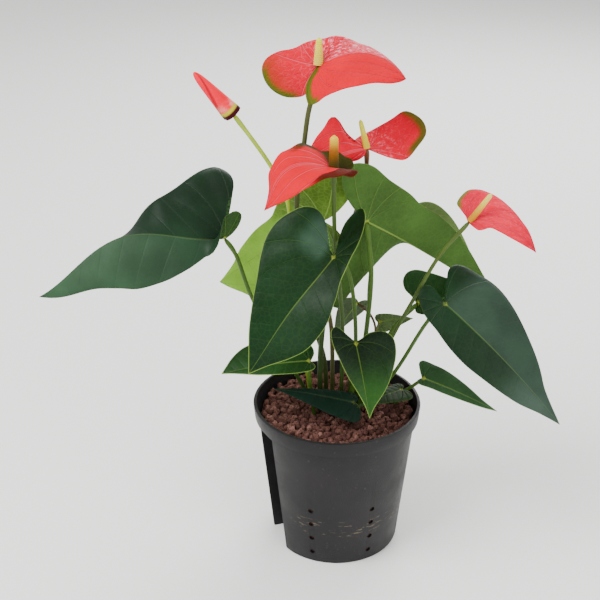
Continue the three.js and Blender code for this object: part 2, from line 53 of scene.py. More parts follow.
# Pot, recess and drain holes
RIM_RADIUS = 65
POT_HEIGHT = 120
BASE_RADIUS = 50
WALL = 2
RIM_BAND_HEIGHT = 12
WALL_RADIUS_UNDER_RIM = 61
RIM_LIP = 1.2
UNDER_RIM = POT_HEIGHT - RIM_BAND_HEIGHT
POT_SIDES = 144
RECESS_ANGLE = -161
RECESS_WIDTH = 32
RECESS_DEPTH = 11
RECESS_TOP = 104
RECESS_REACH = 20
RECESS_UNDERCUT = 10
HOLE_RADIUS = 2
HOLE_ROW_ANGLES = (-112, -61, -10, 41, 92, 143)
HOLE_HEIGHTS = (10, 24, 38, 51)
DRILL_SIDES = 20
DRILL_REACH = 6

# Granules
SOIL_LEVEL = 111
BED_LEVEL = 108.5
BED_GAP = 0.3
ROCK_SPACING = 5.0
ROW_SHARE = 0.866
ROCK_JITTER = 1.1
ROCK_CHIPS = 7
ROCK_SEED = 7
# Each layer: how far it is raised, how likely a granule is, and its smallest and largest size
ROCK_LAYERS = ((0, 1.0, 2.5, 3.4), (2.6, 0.55, 1.9, 3.0))

# Blades and stems
THICKNESS = 0.8
BLADE_RINGS = 26
MARGIN_POINTS = 70
LONG_LEAF = 100
LEAF_RUFFLE = 1.2
SMALL_LEAF_RUFFLE = 0.4
SPATHE_RUFFLE = 0.7
FIRST_BLOOM_SEED = 20
STEM_FOOT_DEPTH = 14
STEM_END_GAP = 0.6
STEM_SIDES = 16
STEM_STEP = 3
KNEE_SWELL = 0.18
KNEE_FROM_TOP = 7
KNEE_LENGTH = 5
FOOT_SWELL = 0.15
FOOT_LENGTH = 40

# Veins: the angle at which the first arc leaves the junction and the step to the next, and, as shares of the
# blade's length, the step of the lateral veins within that arc and their slant
FIRST_ARC = 1.13
VEIN_ARCS = 0.52
VEIN_LATERALS = 0.12
VEIN_SLANT = 0.55
UNDER_VEINS = 0.5

# Spadices and bud
SPADIX_ROWS = 140
SPADIX_SIDES = 112
SPADIX_LIFT = 0.6
SPADIX_TRIM = 0.8
FLORET_LINES = 14
BUD_ROWS = 70
BUD_SIDES = 72

# Light and floor
LIGHTS = {
    "window": dict(at=(-0.9, -0.5, 1.5), aim=(0, 0, 0.2), size=1.0, power=32),
    "back_window": dict(at=(0.5, 1.3, 1.2), aim=(0, 0, 0.25), size=1.1, power=26),
    "front_fill": dict(at=(0.9, -1.2, 0.7), aim=(0, 0, 0.2), size=1.2, power=13),
}
SKY_STRENGTH = 0.9
FLOOR_REACH = 4000


def srgb(red, green, blue):
    """Linear colour of an 8-bit screen colour."""
    return tuple((c / 255 / 12.92) if c < 10.3 else ((c / 255 + 0.055) / 1.055) ** 2.4
                 for c in (red, green, blue)) + (1.0,)


# Blade tables: the same places and outlines as the solids have

HEART = ((-0.6, 0.12), (-0.95, 0.34), (-1, 0.6), (-0.6, 0.9), (0, 1),
         (0.15, 0.96), (0.3, 0.85), (0.5, 0.63), (0.7, 0.38), (0.86, 0.17))


def side(margin, fold=((0, 4),), curl=-10):
    return {"margin": margin, "fold": fold, "curl": curl}


def heart(width, lobe, fold, length):
    """Heart-shaped half of a small leaf."""
    return side([(a * lobe if a < 0 else a * length, b * width) for a, b in HEART], fold)


def stem(radius, foot, *path):
    return {"radius": radius, "foot": foot, "path": path}


LEAVES = {
    "left": dict(
        junction=(-83, -10, 260), tip=(-216, -30, 223), facing=(0, -0.78, 0.62), arch=50, sway=-19,
        left=side([(-6, 3), (-11, 10), (-12, 18), (-7, 22), (-1, 20), (7, 15),
                   (18, 14), (34, 26), (52, 36), (70, 39), (84, 33), (102, 22), (126, 10)],
                  [(0, 130), (18, 8), (60, 0)]),
        right=side([(-6, 14), (-10, 25), (-20, 38), (-22, 49), (-14, 58), (-4, 58),
                    (9, 53), (24, 43), (39, 32), (54, 24), (66, 17), (85, 12), (110, 7)],
                   [(0, 0), (35, -8), (80, -75)], -14),
        stem=stem(1.6, (-20, 6), (-45, 4, 165), (-65, -3, 211), (-76, -8, 248))),
    "front": dict(
        junction=(-5, -35, 256), tip=(-65, -70, 182), facing=(-0.1, -0.9, 0.4), arch=16, sway=-2,
        sinus=(-1.3, -0.8),
        left=side([(-9, -5), (-20, -12), (-30, -18), (-39, -18), (-43, -12), (-38, 0), (-28, 9), (-14, 14),
                   (0, 16), (12, 17), (25, 22), (40, 27), (52, 27), (64, 25), (76, 18), (89, 8)],
                  [(-40, 60), (-10, 50), (25, 25), (60, 12), (100, 10)], -4),
        right=side([(-3, 5), (-12, 14), (-19, 23), (-21, 31), (-17, 39), (-9, 44),
                    (3, 48), (16, 47), (28, 42), (44, 33), (60, 25), (76, 17), (90, 8)], curl=-15),
        stem=stem(2.1, (-13, -2), (-13, -8, 170), (-8, -18, 225))),
    "back_left": dict(
        junction=(-12, 25, 259), tip=(-94, 75, 186), facing=(-0.15, 0.95, 0.12), arch=24, lift=20,
        left=side([(-20, 2), (-40, 9), (-49, 24), (-45, 38), (-30, 46), (-7, 43),
                   (23, 29), (35, 23), (56, 20), (72, 16), (85, 12), (98, 6), (112, 2)],
                  [(-50, 14), (-10, 6)]),
        right=side([(-1, 14), (9, 31), (37, 49), (74, 56), (98, 50), (114, 37), (118, 22), (121, 9)],
                   [(0, 6)]),
        stem=stem(1.6, (9, 4), (14, 6, 168), (7, 8, 227), (-4, 13, 245))),
    "back_right": dict(
        junction=(21, 20, 261), tip=(132, 75, 172), facing=(-0.2, 0.95, 0.15), arch=20,
        left=side([(-5, 10), (-8, 28), (0, 50), (14, 67), (30, 74), (43, 70),
                   (56, 46), (76, 31), (100, 21), (125, 12), (140, 6)], [(36, 0), (58, 88)], -7),
        right=side([(-15, 3), (-35, 11), (-49, 22), (-49, 33), (-34, 39), (-8, 36),
                    (19, 34), (34, 31), (54, 31), (70, 29), (84, 26), (105, 19), (130, 9)], [(0, 6)], -5),
        stem=stem(1.9, (15, 10), (22, 12, 171), (25, 16, 221))),
    "folded_young": dict(
        junction=(67, 85, 238), tip=(116, 98, 192), facing=(0.1, 0.6, 0.8), arch=14,
        left=(18, 12, [(0, 30)]), right=(20, 12, [(0, 30)]),
        stem=stem(1.2, (22, 36), (24, 46, 138), (26.5, 59, 161), (27, 68, 186), (31.5, 84, 203),
                  (51, 95, 223))),
    "right": dict(
        junction=(78, -15, 210), tip=(163, -50, 128), facing=(0.35, -0.75, 0.56), arch=22, sinus=(-1.4, 0.4),
        left=side([(-12, 17), (-16, 25), (-15, 32), (-9, 37), (2, 40), (14, 43),
                   (25, 43), (38, 40), (51, 35), (64, 29), (76, 23), (86, 17), (96, 10), (108, 5)],
                  [(0, -2)], -12),
        right=side([(-7, -2), (-17, -3), (-21, 1), (-20, 7), (-15, 12), (-4, 17),
                    (8, 19), (23, 22), (41, 23), (58, 21), (75, 18), (90, 14), (106, 7)], [(0, -10)]),
        stem=stem(1.5, (20, 3), (42, 0, 141), (67, -8, 193))),
    "right_inner": dict(
        junction=(61, 12, 198), tip=(107, 8, 210), facing=(0.1, -0.9, 0.4), arch=16,
        left=side([(-4, 6), (-8, 12), (-8, 19), (-4, 24), (3, 25), (13, 21), (24, 15), (38, 6)]),
        right=side([(-3, 3), (-3, 7), (3, 10), (14, 11), (26, 8), (38, 4)]),
        stem=stem(1.6, (22, 10), (42, 8, 177))),
    "low_right": dict(
        junction=(68, 10, 133), tip=(125, -5, 112), facing=(0.2, -0.6, 0.8), arch=16,
        left=side([(-6, 7), (-8, 12), (-6, 15), (4, 15), (14, 14), (32, 9), (49, 3)]),
        right=side([(-4, 4), (-2, 6), (8, 6), (21, 6), (36, 5), (51, 3)], curl=-5),
        stem=stem(1.2, (38, 12), (46, 12, 117), (57, 12, 123))),
    "small_front": dict(
        junction=(12, -32, 186), tip=(22, -58, 138), facing=(0.1, -0.8, 0.6),
        left=side([(-3, 5), (-6, 11), (-6, 18), (-4, 24), (1, 28), (11, 28), (26, 22), (37, 15), (48, 5)],
                  [(0, 8)]),
        right=side([(-7, 6), (-12, 11), (-14, 15), (-11, 19), (-1, 20), (9, 17), (22, 12), (35, 6), (46, 2)],
                   [(0, 30), (50, 8)]),
        stem=stem(1.5, (10, -5), (12, -14, 150))),
    "low_left": dict(
        junction=(-22, -22, 166), tip=(-87, -30, 159.5), facing=(0, -0.45, 0.9),
        left=side([(-4, 5), (-2, 8), (8, 10), (20, 10), (38, 8), (52, 4), (60, 1.5)], [(0, 6)]),
        right=side([(-5, 7), (-3, 15), (12, 22), (30, 22), (46, 19), (56, 12), (62, 5)], [(0, 6)]),
        stem=stem(1.4, (-18, -9), (-21, -13, 142))),
    "over_granules": dict(
        junction=(12, -20, 129), tip=(-48, -30, 147), facing=(0, -0.5, 0.87), arch=12,
        left=(17, 6, [(0, 4)]), right=(8, 4, [(0, 4)]),
        stem=stem(1.3, (17, -14), (16, -16, 121))),
    "granules_right": dict(
        junction=(50, 1, 128), tip=(14, -24, 127), facing=(0.1, -0.2, 1), arch=12,
        left=(12, 5, [(0, 4)]), right=(8, 5, [(0, 4)]),
        stem=stem(1.3, (47, 6), (50, 5, 122))),
    "pale_centre": dict(
        junction=(17, 50, 179), tip=(-1, 55, 147), facing=(-0.2, 0.8, 0.5), arch=16,
        left=(15, 5, [(0, 4)]), right=(12, 5, [(0, 4)]),
        stem=stem(1, (4, 16), (31, 36, 160), (27, 44, 172))),
    "pale_right": dict(
        junction=(35, 50, 162), tip=(63, 57, 162), facing=(0.1, -0.7, 0.7),
        left=(7, 3, [(0, 4)]), right=(9, 3, [(0, 4)]),
        stem=stem(1, (16, 18), (31, 42, 152))),
}

BLOOMS = {
    "top": dict(
        junction=(-16, 10, 381), tip=(44, 0, 374), facing=(0, -0.2, 0.97), arch=87, bow=1.5, sway=4,
        sinus=(-1.1, -1.1),
        left=side([(-12, -12), (-19, -15), (-31, -12), (-38, -5), (-41, 4), (-39, 14), (-33, 19), (-23, 20),
                   (-14, 18), (-4, 19), (6, 22), (18, 22), (28, 19), (42, 9), (56, 3)],
                  [(-28, 80), (-8, 58), (8, 25), (30, -5), (60, -10)], -5),
        right=side([(-4, 6), (-8, 14), (-9, 22), (-8, 31), (-6, 37), (0, 38), (6, 36),
                    (20, 35), (34, 33), (47, 26), (58, 18), (65, 8)], [(0, -11)], -11),
        spadix=dict(lean=(0.02, 0, 1), length=19.4, radius=3.6, taper=0.45),
        stem=stem(1.9, (-8, 12), (-10, 11, 150), (-22, 8, 195), (-31, 1, 282), (-26, 1, 326), (-22.5, 4, 351),
                  (-18, 7, 366))),
    "front": dict(
        junction=(-6, -40, 322), tip=(-52, -75, 307), facing=(-0.1, -0.2, 1), arch=100, sway=-8,
        left=side([(-8, 1), (-16, 4), (-15, 8), (-8, 15), (0, 20), (10, 24),
                   (20, 24), (30, 24), (40, 22), (50, 17), (60, 8)],
                  [(-16, 46), (-2, 24), (20, 2), (35, -6), (60, -10)], -5),
        right=side([(-12, 4), (-18, 10), (-15, 14), (-8, 15), (0, 22), (10, 26),
                    (20, 21), (30, 18), (40, 17), (50, 12), (60, 4)],
                   [(-18, 75), (-8, 60), (0, 22), (10, 20), (25, 10), (40, -15), (55, -30)], -6),
        spadix=dict(lean=(0, 0, 1), length=25, radius=3.6, taper=0.2),
        stem=stem(1.6, (3, -2), (3, -8, 189), (0, -13, 226), (-4, -23, 265))),
    "middle": dict(
        junction=(19, 10, 321), tip=(-27, -15, 314), facing=(0, -0.4, 1), lift=40, sinus=(-1, 1.1),
        left=side([(0, 4), (6, 8), (14, 8), (24, 8), (36, 7), (46, 4)], [(0, -80)], -2),
        right=side([(-8, -9), (-15, -16), (-20, -19), (-31, -16), (-40, -13), (-44, -5), (-43, 6), (-40, 11),
                    (-28, 13), (-17, 14), (-2, 13), (4, 10), (9, 7), (12, 11), (17, 20), (21, 27), (24, 27),
                    (30, 22), (38, 17), (46, 9)], [(-30, 20), (0, 10), (8, 25), (20, 58), (45, 65)], -5),
        spadix=dict(lean=(-0.25, 0, 1), length=22, radius=2.6, taper=0.42),
        stem=stem(1.8, (-3, 16), (-4, 30, 165), (-8, 33, 195), (-3, 29, 225), (9, 29, 252), (19, 22, 296))),
    "right": dict(
        junction=(94, 0, 269), tip=(141, -15, 251), facing=(0.1, -0.4, 0.9), arch=80, bow=1.2,
        left=side([(-5, 6), (-10, 13), (-17, 21), (-17, 32), (-14, 39), (-6, 39),
                   (4, 34), (16, 29), (27, 23), (36, 16), (44, 11), (51, 5)], [(0, 6), (30, -4)], -13),
        right=side([(5, 6), (10, 9), (13, 8), (17, 5), (24, 6), (34, 7), (46, 5)], [(0, 0)], -5),
        spadix=dict(lean=(0.5, -0.1, 0.8), length=27, radius=2.5, taper=0.3),
        stem=stem(1.5, (16, -3), (42, -2, 178), (54, -4, 205), (74, -2, 244))),
}

BUD = dict(
    base=(-75, -5, 351), tip=(-101, -10, 382), radius=6.2,
    stem=stem(1.6, (-20, 14), (-32, 8, 200), (-38, 0, 286), (-49, -1, 311), (-62, -3, 332)))

# Looks of each leaf: upper side, underside, veins, roughness, strength of the veins and of the pale margin
DARK = srgb(21, 51, 25)
UNDER = srgb(92, 128, 44)
VEIN = srgb(76, 108, 46)
PALE = srgb(122, 152, 66)
JUNCTION_GREEN = srgb(160, 172, 60)
LEAF_SHINE = 0.12
LEAF_LOOKS = {
    "left": (srgb(18, 42, 24), srgb(40, 68, 28), VEIN, 0.36, 0.05, 0.1),
    "front": (srgb(13, 41, 16), UNDER, VEIN, 0.36, 0.2, 0.85),
    "back_left": (DARK, srgb(122, 172, 50), srgb(150, 184, 84), 0.5, 0.2, 0.3),
    "back_right": (DARK, srgb(60, 92, 34), srgb(96, 128, 54), 0.45, 0.2, 0.3),
    "folded_young": (srgb(116, 144, 82), srgb(122, 150, 82), srgb(146, 166, 104), 0.5, 0.2, 0.3),
    "right": (srgb(18, 44, 22), UNDER, srgb(84, 112, 72), 0.34, 0.09, 0.1),
    "right_inner": (srgb(28, 60, 24), UNDER, VEIN, 0.38, 0.2, 0.4),
    "low_right": (srgb(48, 78, 46), UNDER, VEIN, 0.38, 0.2, 0.4),
    "small_front": (srgb(12, 34, 14), UNDER, VEIN, 0.36, 0.2, 0.85),
    "low_left": (srgb(24, 56, 20), UNDER, VEIN, 0.38, 0.2, 0.85),
    "over_granules": (srgb(14, 40, 28), srgb(40, 64, 28), srgb(30, 54, 30), 0.42, 0.04, 0.0),
    "granules_right": (srgb(28, 48, 18), UNDER, srgb(60, 80, 34), 0.45, 0.1, 0.1),
    "pale_centre": (srgb(84, 104, 70), srgb(92, 112, 78), srgb(110, 126, 92), 0.5, 0.2, 0.2),
    "pale_right": (srgb(94, 116, 70), srgb(112, 130, 84), srgb(124, 140, 96), 0.5, 0.2, 0.2),
}
PETIOLE_GREEN = (srgb(46, 70, 20), srgb(68, 98, 30))
STEM_LOOKS = {
    "petiole_folded_young": (srgb(84, 112, 50), srgb(112, 140, 76)),
    "petiole_pale_centre": (srgb(84, 66, 44), srgb(92, 76, 52)),
    "petiole_pale_right": (srgb(88, 78, 46), srgb(104, 112, 66)),
    "petiole_front": (srgb(34, 52, 18), srgb(56, 82, 26)),
    "peduncle_top": (srgb(48, 60, 22), srgb(72, 78, 36)),
    "peduncle_front": (srgb(46, 70, 20), srgb(62, 84, 26)),
    "peduncle_middle": (srgb(56, 70, 26), srgb(110, 66, 40)),
    "peduncle_right": (srgb(50, 78, 24), srgb(74, 92, 34)),
    "peduncle_bud": (srgb(120, 150, 34), srgb(164, 188, 50)),
}
# Spathes: reds and roughness of the left and right halves, underside, olive and rust-brown of the marks
SPATHE_LOOKS = {
    "top": dict(reds=(srgb(214, 2, 40), srgb(224, 2, 36)), rough=(0.36, 0.6), under=srgb(130, 6, 20),
                olive=srgb(84, 92, 26), rust=srgb(150, 62, 24)),
    "front": dict(reds=(srgb(220, 2, 34), srgb(220, 2, 34)), rough=(0.55, 0.55), under=srgb(84, 24, 18),
                  olive=srgb(54, 52, 18), rust=srgb(84, 24, 14)),
    "middle": dict(reds=(srgb(218, 4, 36), srgb(232, 4, 46)), rough=(0.5, 0.36), under=srgb(120, 6, 20),
                   olive=srgb(92, 82, 28), rust=srgb(120, 50, 24)),
    "right": dict(reds=(srgb(226, 4, 50), srgb(226, 4, 50)), rough=(0.45, 0.45), under=srgb(130, 12, 26),
                  olive=srgb(110, 116, 40), rust=srgb(120, 50, 24)),
}
SPATHE_PINK = srgb(255, 110, 130)
# Pink of the painted highlights where the spathes are glossy
HIGHLIGHT_PINK = srgb(255, 160, 180)
SPATHE_SHINE = 0.03
BUD_LOOKS = dict(reds=(srgb(232, 8, 36), srgb(244, 24, 56)), seam=srgb(130, 14, 22),
                 streak=srgb(250, 170, 160), band=srgb(190, 178, 40), foot=srgb(60, 12, 24))
# Spadices: colour at the base, in the middle and at the top
SPADIX_LOOKS = {
    "top": (srgb(232, 216, 80), srgb(246, 236, 66), srgb(246, 244, 60)),
    "front": (srgb(34, 56, 8), srgb(170, 104, 10), srgb(246, 206, 40)),
    "middle": (srgb(232, 206, 40), srgb(244, 236, 60), srgb(232, 244, 70)),
    "right": (srgb(214, 150, 20), srgb(244, 222, 70), srgb(250, 238, 120)),
}
FLORET_GROOVE = srgb(140, 84, 26)
CHARCOALS = (srgb(27, 26, 27), srgb(34, 32, 33))
LIME_STAIN = srgb(140, 128, 100)
DUST = srgb(110, 100, 92)
# Lava granules: dark, mid and light tones, and the painted shade in their pits
LAVA = dict(dark=srgb(76, 49, 43), mid=srgb(112, 76, 68), light=srgb(142, 102, 92), pit_shade=srgb(62, 37, 32))
FLOOR_WHITE = srgb(248, 248, 246)


# Curves and blades

CURVE_STEPS = 24
RIB_STEPS = 60
RING_CROWDING = 0.85


def centripetal(points, count):
    """Points along a centripetal Catmull-Rom curve through the given ones, evenly spaced."""
    p = np.array(points, float)
    padded = np.vstack([2 * p[0] - p[1], p, 2 * p[-1] - p[-2]])
    found = []
    for p0, p1, p2, p3 in zip(padded, padded[1:], padded[2:], padded[3:]):
        d0, d1, d2 = (max(np.linalg.norm(b - a) ** 0.5, 1e-4) for a, b in ((p0, p1), (p1, p2), (p2, p3)))
        m1 = ((p1 - p0) / d0 - (p2 - p0) / (d0 + d1) + (p2 - p1) / d1) * d1
        m2 = ((p2 - p1) / d1 - (p3 - p1) / (d1 + d2) + (p3 - p2) / d2) * d1
        for w in np.linspace(0, 1, CURVE_STEPS, endpoint=False):
            found.append((2 * w ** 3 - 3 * w ** 2 + 1) * p1 + (w ** 3 - 2 * w ** 2 + w) * m1
                         + (3 * w ** 2 - 2 * w ** 3) * p2 + (w ** 3 - w ** 2) * m2)
    found = np.array(found + [p[-1]])
    run = np.concatenate([[0], np.cumsum(np.linalg.norm(np.diff(found, axis=0), axis=1))])
    even = np.linspace(0, run[-1], count + 1)
    return np.stack([np.interp(even, run, found[:, k]) for k in range(found.shape[1])], -1)


def eased(x, start, end):
    """Eases from 0 to 1 as x goes from start to end."""
    t = np.clip((x - start) / (end - start), 0, 1)
    return t * t * (3 - 2 * t)


class Blade:
    """A leaf or spathe: a midrib that arches down, with a margin and a fold of its own on each side."""

    def __init__(self, given):
        self.given = {"arch": 20, "bow": 1, "sway": 0, "lift": 0, "sinus": (-1.5, 0), **given}
        self.junction = np.array(given["junction"], float)
        ahead = np.array(given["tip"], float) - self.junction
        chord = np.linalg.norm(ahead)
        ahead /= chord
        up = np.array(given["facing"], float)
        up -= up @ ahead * ahead
        up /= np.linalg.norm(up)
        self.axes = np.stack([ahead, np.cross(up, ahead), up], 1)
        share = (np.arange(RIB_STEPS) + 0.5) / RIB_STEPS
        turn = -math.radians(self.given["arch"]) * share ** self.given["bow"]
        x = np.concatenate([[0], np.cumsum(np.cos(turn))]) / RIB_STEPS
        z = np.concatenate([[0], np.cumsum(np.sin(turn))]) / RIB_STEPS
        self.length = chord / math.hypot(x[-1], z[-1])
        self.start = -math.atan2(z[-1], x[-1])
        c, s = math.cos(self.start), math.sin(self.start)
        self.rib = np.stack([x * c - z * s, x * s + z * c], -1) * self.length
        self.sides = [self.half(given["left"]), self.half(given["right"])]

    def half(self, given):
        """A side's table, or the heart shape that a (width, lobe, fold) tuple asks for."""
        return heart(*given, self.length) if isinstance(given, tuple) else given

    def fold(self, which, along):
        stations = self.sides[which]["fold"]
        fold = np.full(np.shape(along), float(stations[0][1]))
        for (start, before), (end, after) in zip(stations, stations[1:]):
            fold += (after - before) * eased(along, start, end)
        return fold

    def bend(self, along, across, which, proud):
        """Bends flat points of one half into the row frame; proud lifts them off the blade's plane."""
        share = np.clip(along / self.length, 0, 1)
        places = np.linspace(0, 1, len(self.rib))
        back = np.minimum(along, 0)
        turned = self.start + math.radians(self.given["lift"]) * back / 30
        middle = (self.start + turned) / 2
        x = np.interp(share, places, self.rib[:, 0]) + back * np.cos(middle)
        z = np.interp(share, places, self.rib[:, 1]) + back * np.sin(middle)
        arched = self.start - math.radians(self.given["arch"]) * share ** self.given["bow"]
        angle = np.where(along < 0, turned, arched)
        half = self.sides[which]
        reach = max(b for _, b in half["margin"])
        slope = np.radians(self.fold(which, along) + 0.5 * half["curl"] * across / reach)
        up = across * np.sin(slope) + proud * np.cos(slope)
        sideways = across * np.cos(slope) - proud * np.sin(slope)
        y = (1 if which == 0 else -1) * sideways + self.given["sway"] * np.sin(np.pi * share) ** 2
        local = np.stack([x - up * np.sin(angle), y, z + up * np.cos(angle)], -1)
        return local @ self.axes.T + self.junction

    def margin(self, which):
        along, across = self.given["sinus"]
        first = (along, across if which == 0 else -across)
        return centripetal([first, *self.sides[which]["margin"], (self.length, 0)], MARGIN_POINTS)


def spathe_marks(name, along, across, edge, half):
    """How strong the net, the pale gleam of painted pink highlights, the olive and the rust-brown are at each
    place of a spathe.
    """
    left, right = half == 0, half == 1
    none = np.zeros(len(along))
    if name == "top":
        lobe = left * eased(along, -18, -30) * eased(edge, 7, 2) * eased(across, 18, 10)
        rim = right * eased(along, 3, -1) * eased(edge, 5.6, 4.4)
        return {"net": left * (0.1 + 0.28 * eased(along, -18, 0)), "veins": 0.34 * left + 0.08 * right,
                "highlight": left * (0.04 + 0.76 * eased(along, -6, 8)),
                "olive": np.maximum(lobe, rim), "rust": 0.7 * left * eased(along, -18, -40)}
    if name == "front":
        width = 3 + 9 * eased(along, 34, 2)
        return {"net": none, "veins": none + 0.35, "highlight": none,
                "olive": right * np.maximum(eased(along, 7, -2), eased(edge, 6, 3) * eased(along, 26, 12)),
                "rust": left * eased(along, 38, 26) * eased(edge, width, width - 1.5)}
    if name == "middle":
        rim = eased(edge, 6, 2.5) * eased(along, -20, -28) * eased(across, 6, -2)
        return {"net": 0.08 * right * eased(along, 6, -6), "veins": none + 0.3,
                "highlight": right * eased(along, 4, -4) * eased(along, -30, -12) * 0.3,
                "olive": right * np.maximum(rim, eased(edge, 5, 2) * eased(along, -36, -41)),
                "rust": 0.6 * right * eased(along, -34, -42)}
    return {"net": none + 0.08, "veins": none + 0.1, "highlight": none + 0.08,
            "olive": left * eased(along, -9, -15) * eased(edge, 5, 1.5), "rust": none}


def leaf_marks(name, along, across, edge, half):
    """How strong each leaf's patch is at each place: painted grey sheen on the left, front and right leaves,
    a darker green towards the junction of the back-left leaf and a fresh green towards the tip of the small
    front leaf.
    """
    sheen_and_tint = np.zeros(len(along))
    # Painted grey sheen over one half, stronger towards the tip
    if name == "left":
        sheen_and_tint = (half == 0) * (0.25 * eased(along, -4, 6) + 0.6 * eased(along, 10, 80))
    # Painted sheen on one half, near the junction
    if name == "front":
        sheen_and_tint = 0.7 * (half == 1) * eased(across, 4, 10) * eased(across, 34, 20) * eased(along, 14, 0)
    if name == "back_left":
        sheen_and_tint = 0.9 * eased(along, 45, 15)
    # Painted grey sheen over one half near the junction, and over the tip
    if name == "right":
        sheen_and_tint = np.maximum(0.36 * (half == 0) * eased(along, -6, 8), 0.6 * eased(along, 60, 100))
    if name == "small_front":
        sheen_and_tint = 0.8 * eased(along, 6, 44)
    return {"sheen_and_tint": sheen_and_tint}


# Face and colour of each leaf's patch: painted grey sheen on the left, front and right leaves, a darker green
# on the back-left leaf and a fresh green on the small front leaf
LEAF_SHEEN_AND_TINT = {
    "left": ("upper", srgb(50, 78, 54)),
    "front": ("upper", srgb(58, 84, 68)),
    "back_left": ("under", srgb(82, 112, 34)),
    "right": ("upper", srgb(72, 92, 80)),
    "small_front": ("upper", srgb(40, 84, 24)),
}


def relief(blade, x, y, ruffle, seed):
    """Height of the blade's quilting and waves, in mm, from flat places as shares of its length."""
    arc = np.arctan2(y, x) + np.arctan2(y, 1 - x)
    between = np.abs(np.sin(np.pi * arc / VEIN_ARCS))
    lateral = np.abs(np.sin(np.pi * (x - VEIN_SLANT * y) / VEIN_LATERALS))
    quilt = np.where(arc < FIRST_ARC, 0.06 * lateral ** 0.6, between ** 0.6)
    reach = eased(np.hypot(x, y), 0.03, 0.25) * eased(np.hypot(1 - x, y), 0.03, 0.25)
    wave = np.sin(9 * x + 5 * y + seed) * eased(y, 0.1, 0.45)
    return ruffle * (0.5 * quilt * reach + 0.7 * wave)


def laid_out(flat, halves):
    """Flat places of both halves in one plane, with the right half on the other side of the midrib."""
    return np.stack([flat[:, 0], np.where(halves == 0, 1, -1) * flat[:, 1]], -1)


def blade_piece(kind, name, blade, materials, ruffle, seed, marks):
    """Fine two-faced blade; marks says how strong the marks that its materials show are at each place."""
    left, right = blade.margin(0), blade.margin(1)[-2:0:-1]
    rim = np.vstack([left, right])
    rim_halves = np.repeat([0, 1], [len(left), len(right)])
    rings = (np.arange(1, BLADE_RINGS + 1) / BLADE_RINGS) ** RING_CROWDING
    flat = np.vstack([[[0, 0]]] + [rim * ring for ring in rings])
    halves = np.concatenate([[0]] + [rim_halves] * BLADE_RINGS)
    apart = laid_out(flat, halves)[:, None] - laid_out(rim, rim_halves)[None]
    edge = np.min(np.linalg.norm(apart, axis=2), axis=1)
    x = flat[:, 0] / blade.length
    y = np.abs(flat[:, 1]) / blade.length
    proud = relief(blade, x, y, ruffle, seed) * eased(edge, 0, 4)
    places = np.zeros((len(flat), 3))
    for half in (0, 1):
        mine = halves == half
        places[mine] = blade.bend(flat[mine, 0], flat[mine, 1], half, proud[mine])
    around = len(rim)

    def at(ring, step):
        return 1 + (ring - 1) * around + step % around

    faces = [(0, at(1, k + 1), at(1, k)) for k in range(around)]
    for ring in range(1, BLADE_RINGS):
        faces += [(at(ring, k), at(ring, k + 1), at(ring + 1, k + 1), at(ring + 1, k)) for k in range(around)]
    shift = vertex_normals(places, faces) * (THICKNESS / 2 * (0.35 + 0.65 * eased(edge, 0, 3)))[:, None]
    below = len(places)
    rim_edges = [(at(BLADE_RINGS, k), at(BLADE_RINGS, k + 1)) for k in range(around)]
    rim_faces = [(a, b, b + below, a + below) for a, b in rim_edges]
    lower = [tuple(v + below for v in reversed(face)) for face in faces]
    shares = {"along": x, "across": y, "edge": edge, "half": halves, "length": np.full(below, blade.length),
              **marks(name, flat[:, 0], flat[:, 1], edge, halves)}
    obj = mesh_object(f"{kind}_{name}_fine", np.vstack([places + shift, places - shift]),
                      faces + rim_faces + lower,
                      **{key: np.tile(values, 2) for key, values in shares.items()})
    slots = [0] * (len(faces) + len(rim_faces)) + [1] * len(lower)
    obj.data.polygons.foreach_set("material_index", slots)
    dress(obj, f"{kind}_{name}", *materials)


def vertex_normals(places, faces):
    normals = np.zeros_like(places)
    for size in (3, 4):
        group = np.array([face for face in faces if len(face) == size])
        face_normals = np.cross(places[group[:, 1]] - places[group[:, 0]],
                                places[group[:, -1]] - places[group[:, 0]])
        for corner in range(size):
            np.add.at(normals, group[:, corner], face_normals)
    return normals / np.maximum(np.linalg.norm(normals, axis=1), 1e-9)[:, None]


def mesh_object(name, places, faces, smooth=True, **shares):
    """Object with a mesh in metres and an attribute for each share that its material reads."""
    mesh = bpy.data.meshes.new(name)
    mesh.from_pydata([tuple(p) for p in np.asarray(places) * MM], [], faces)
    mesh.validate()
    if smooth:
        mesh.shade_smooth()
    for key, values in shares.items():
        mesh.attributes.new(key, "FLOAT", "POINT").data.foreach_set("value", np.asarray(values, np.float32))
    obj = bpy.data.objects.new(name, mesh)
    bpy.context.scene.collection.objects.link(obj)
    return obj


def dress(obj, node, *materials):
    """The piece takes its own materials, moves with the part and stands for a CAD node, which it hides."""
    for material in materials:
        obj.data.materials.append(material)
    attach(obj, "root")
    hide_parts(node)


# Materials

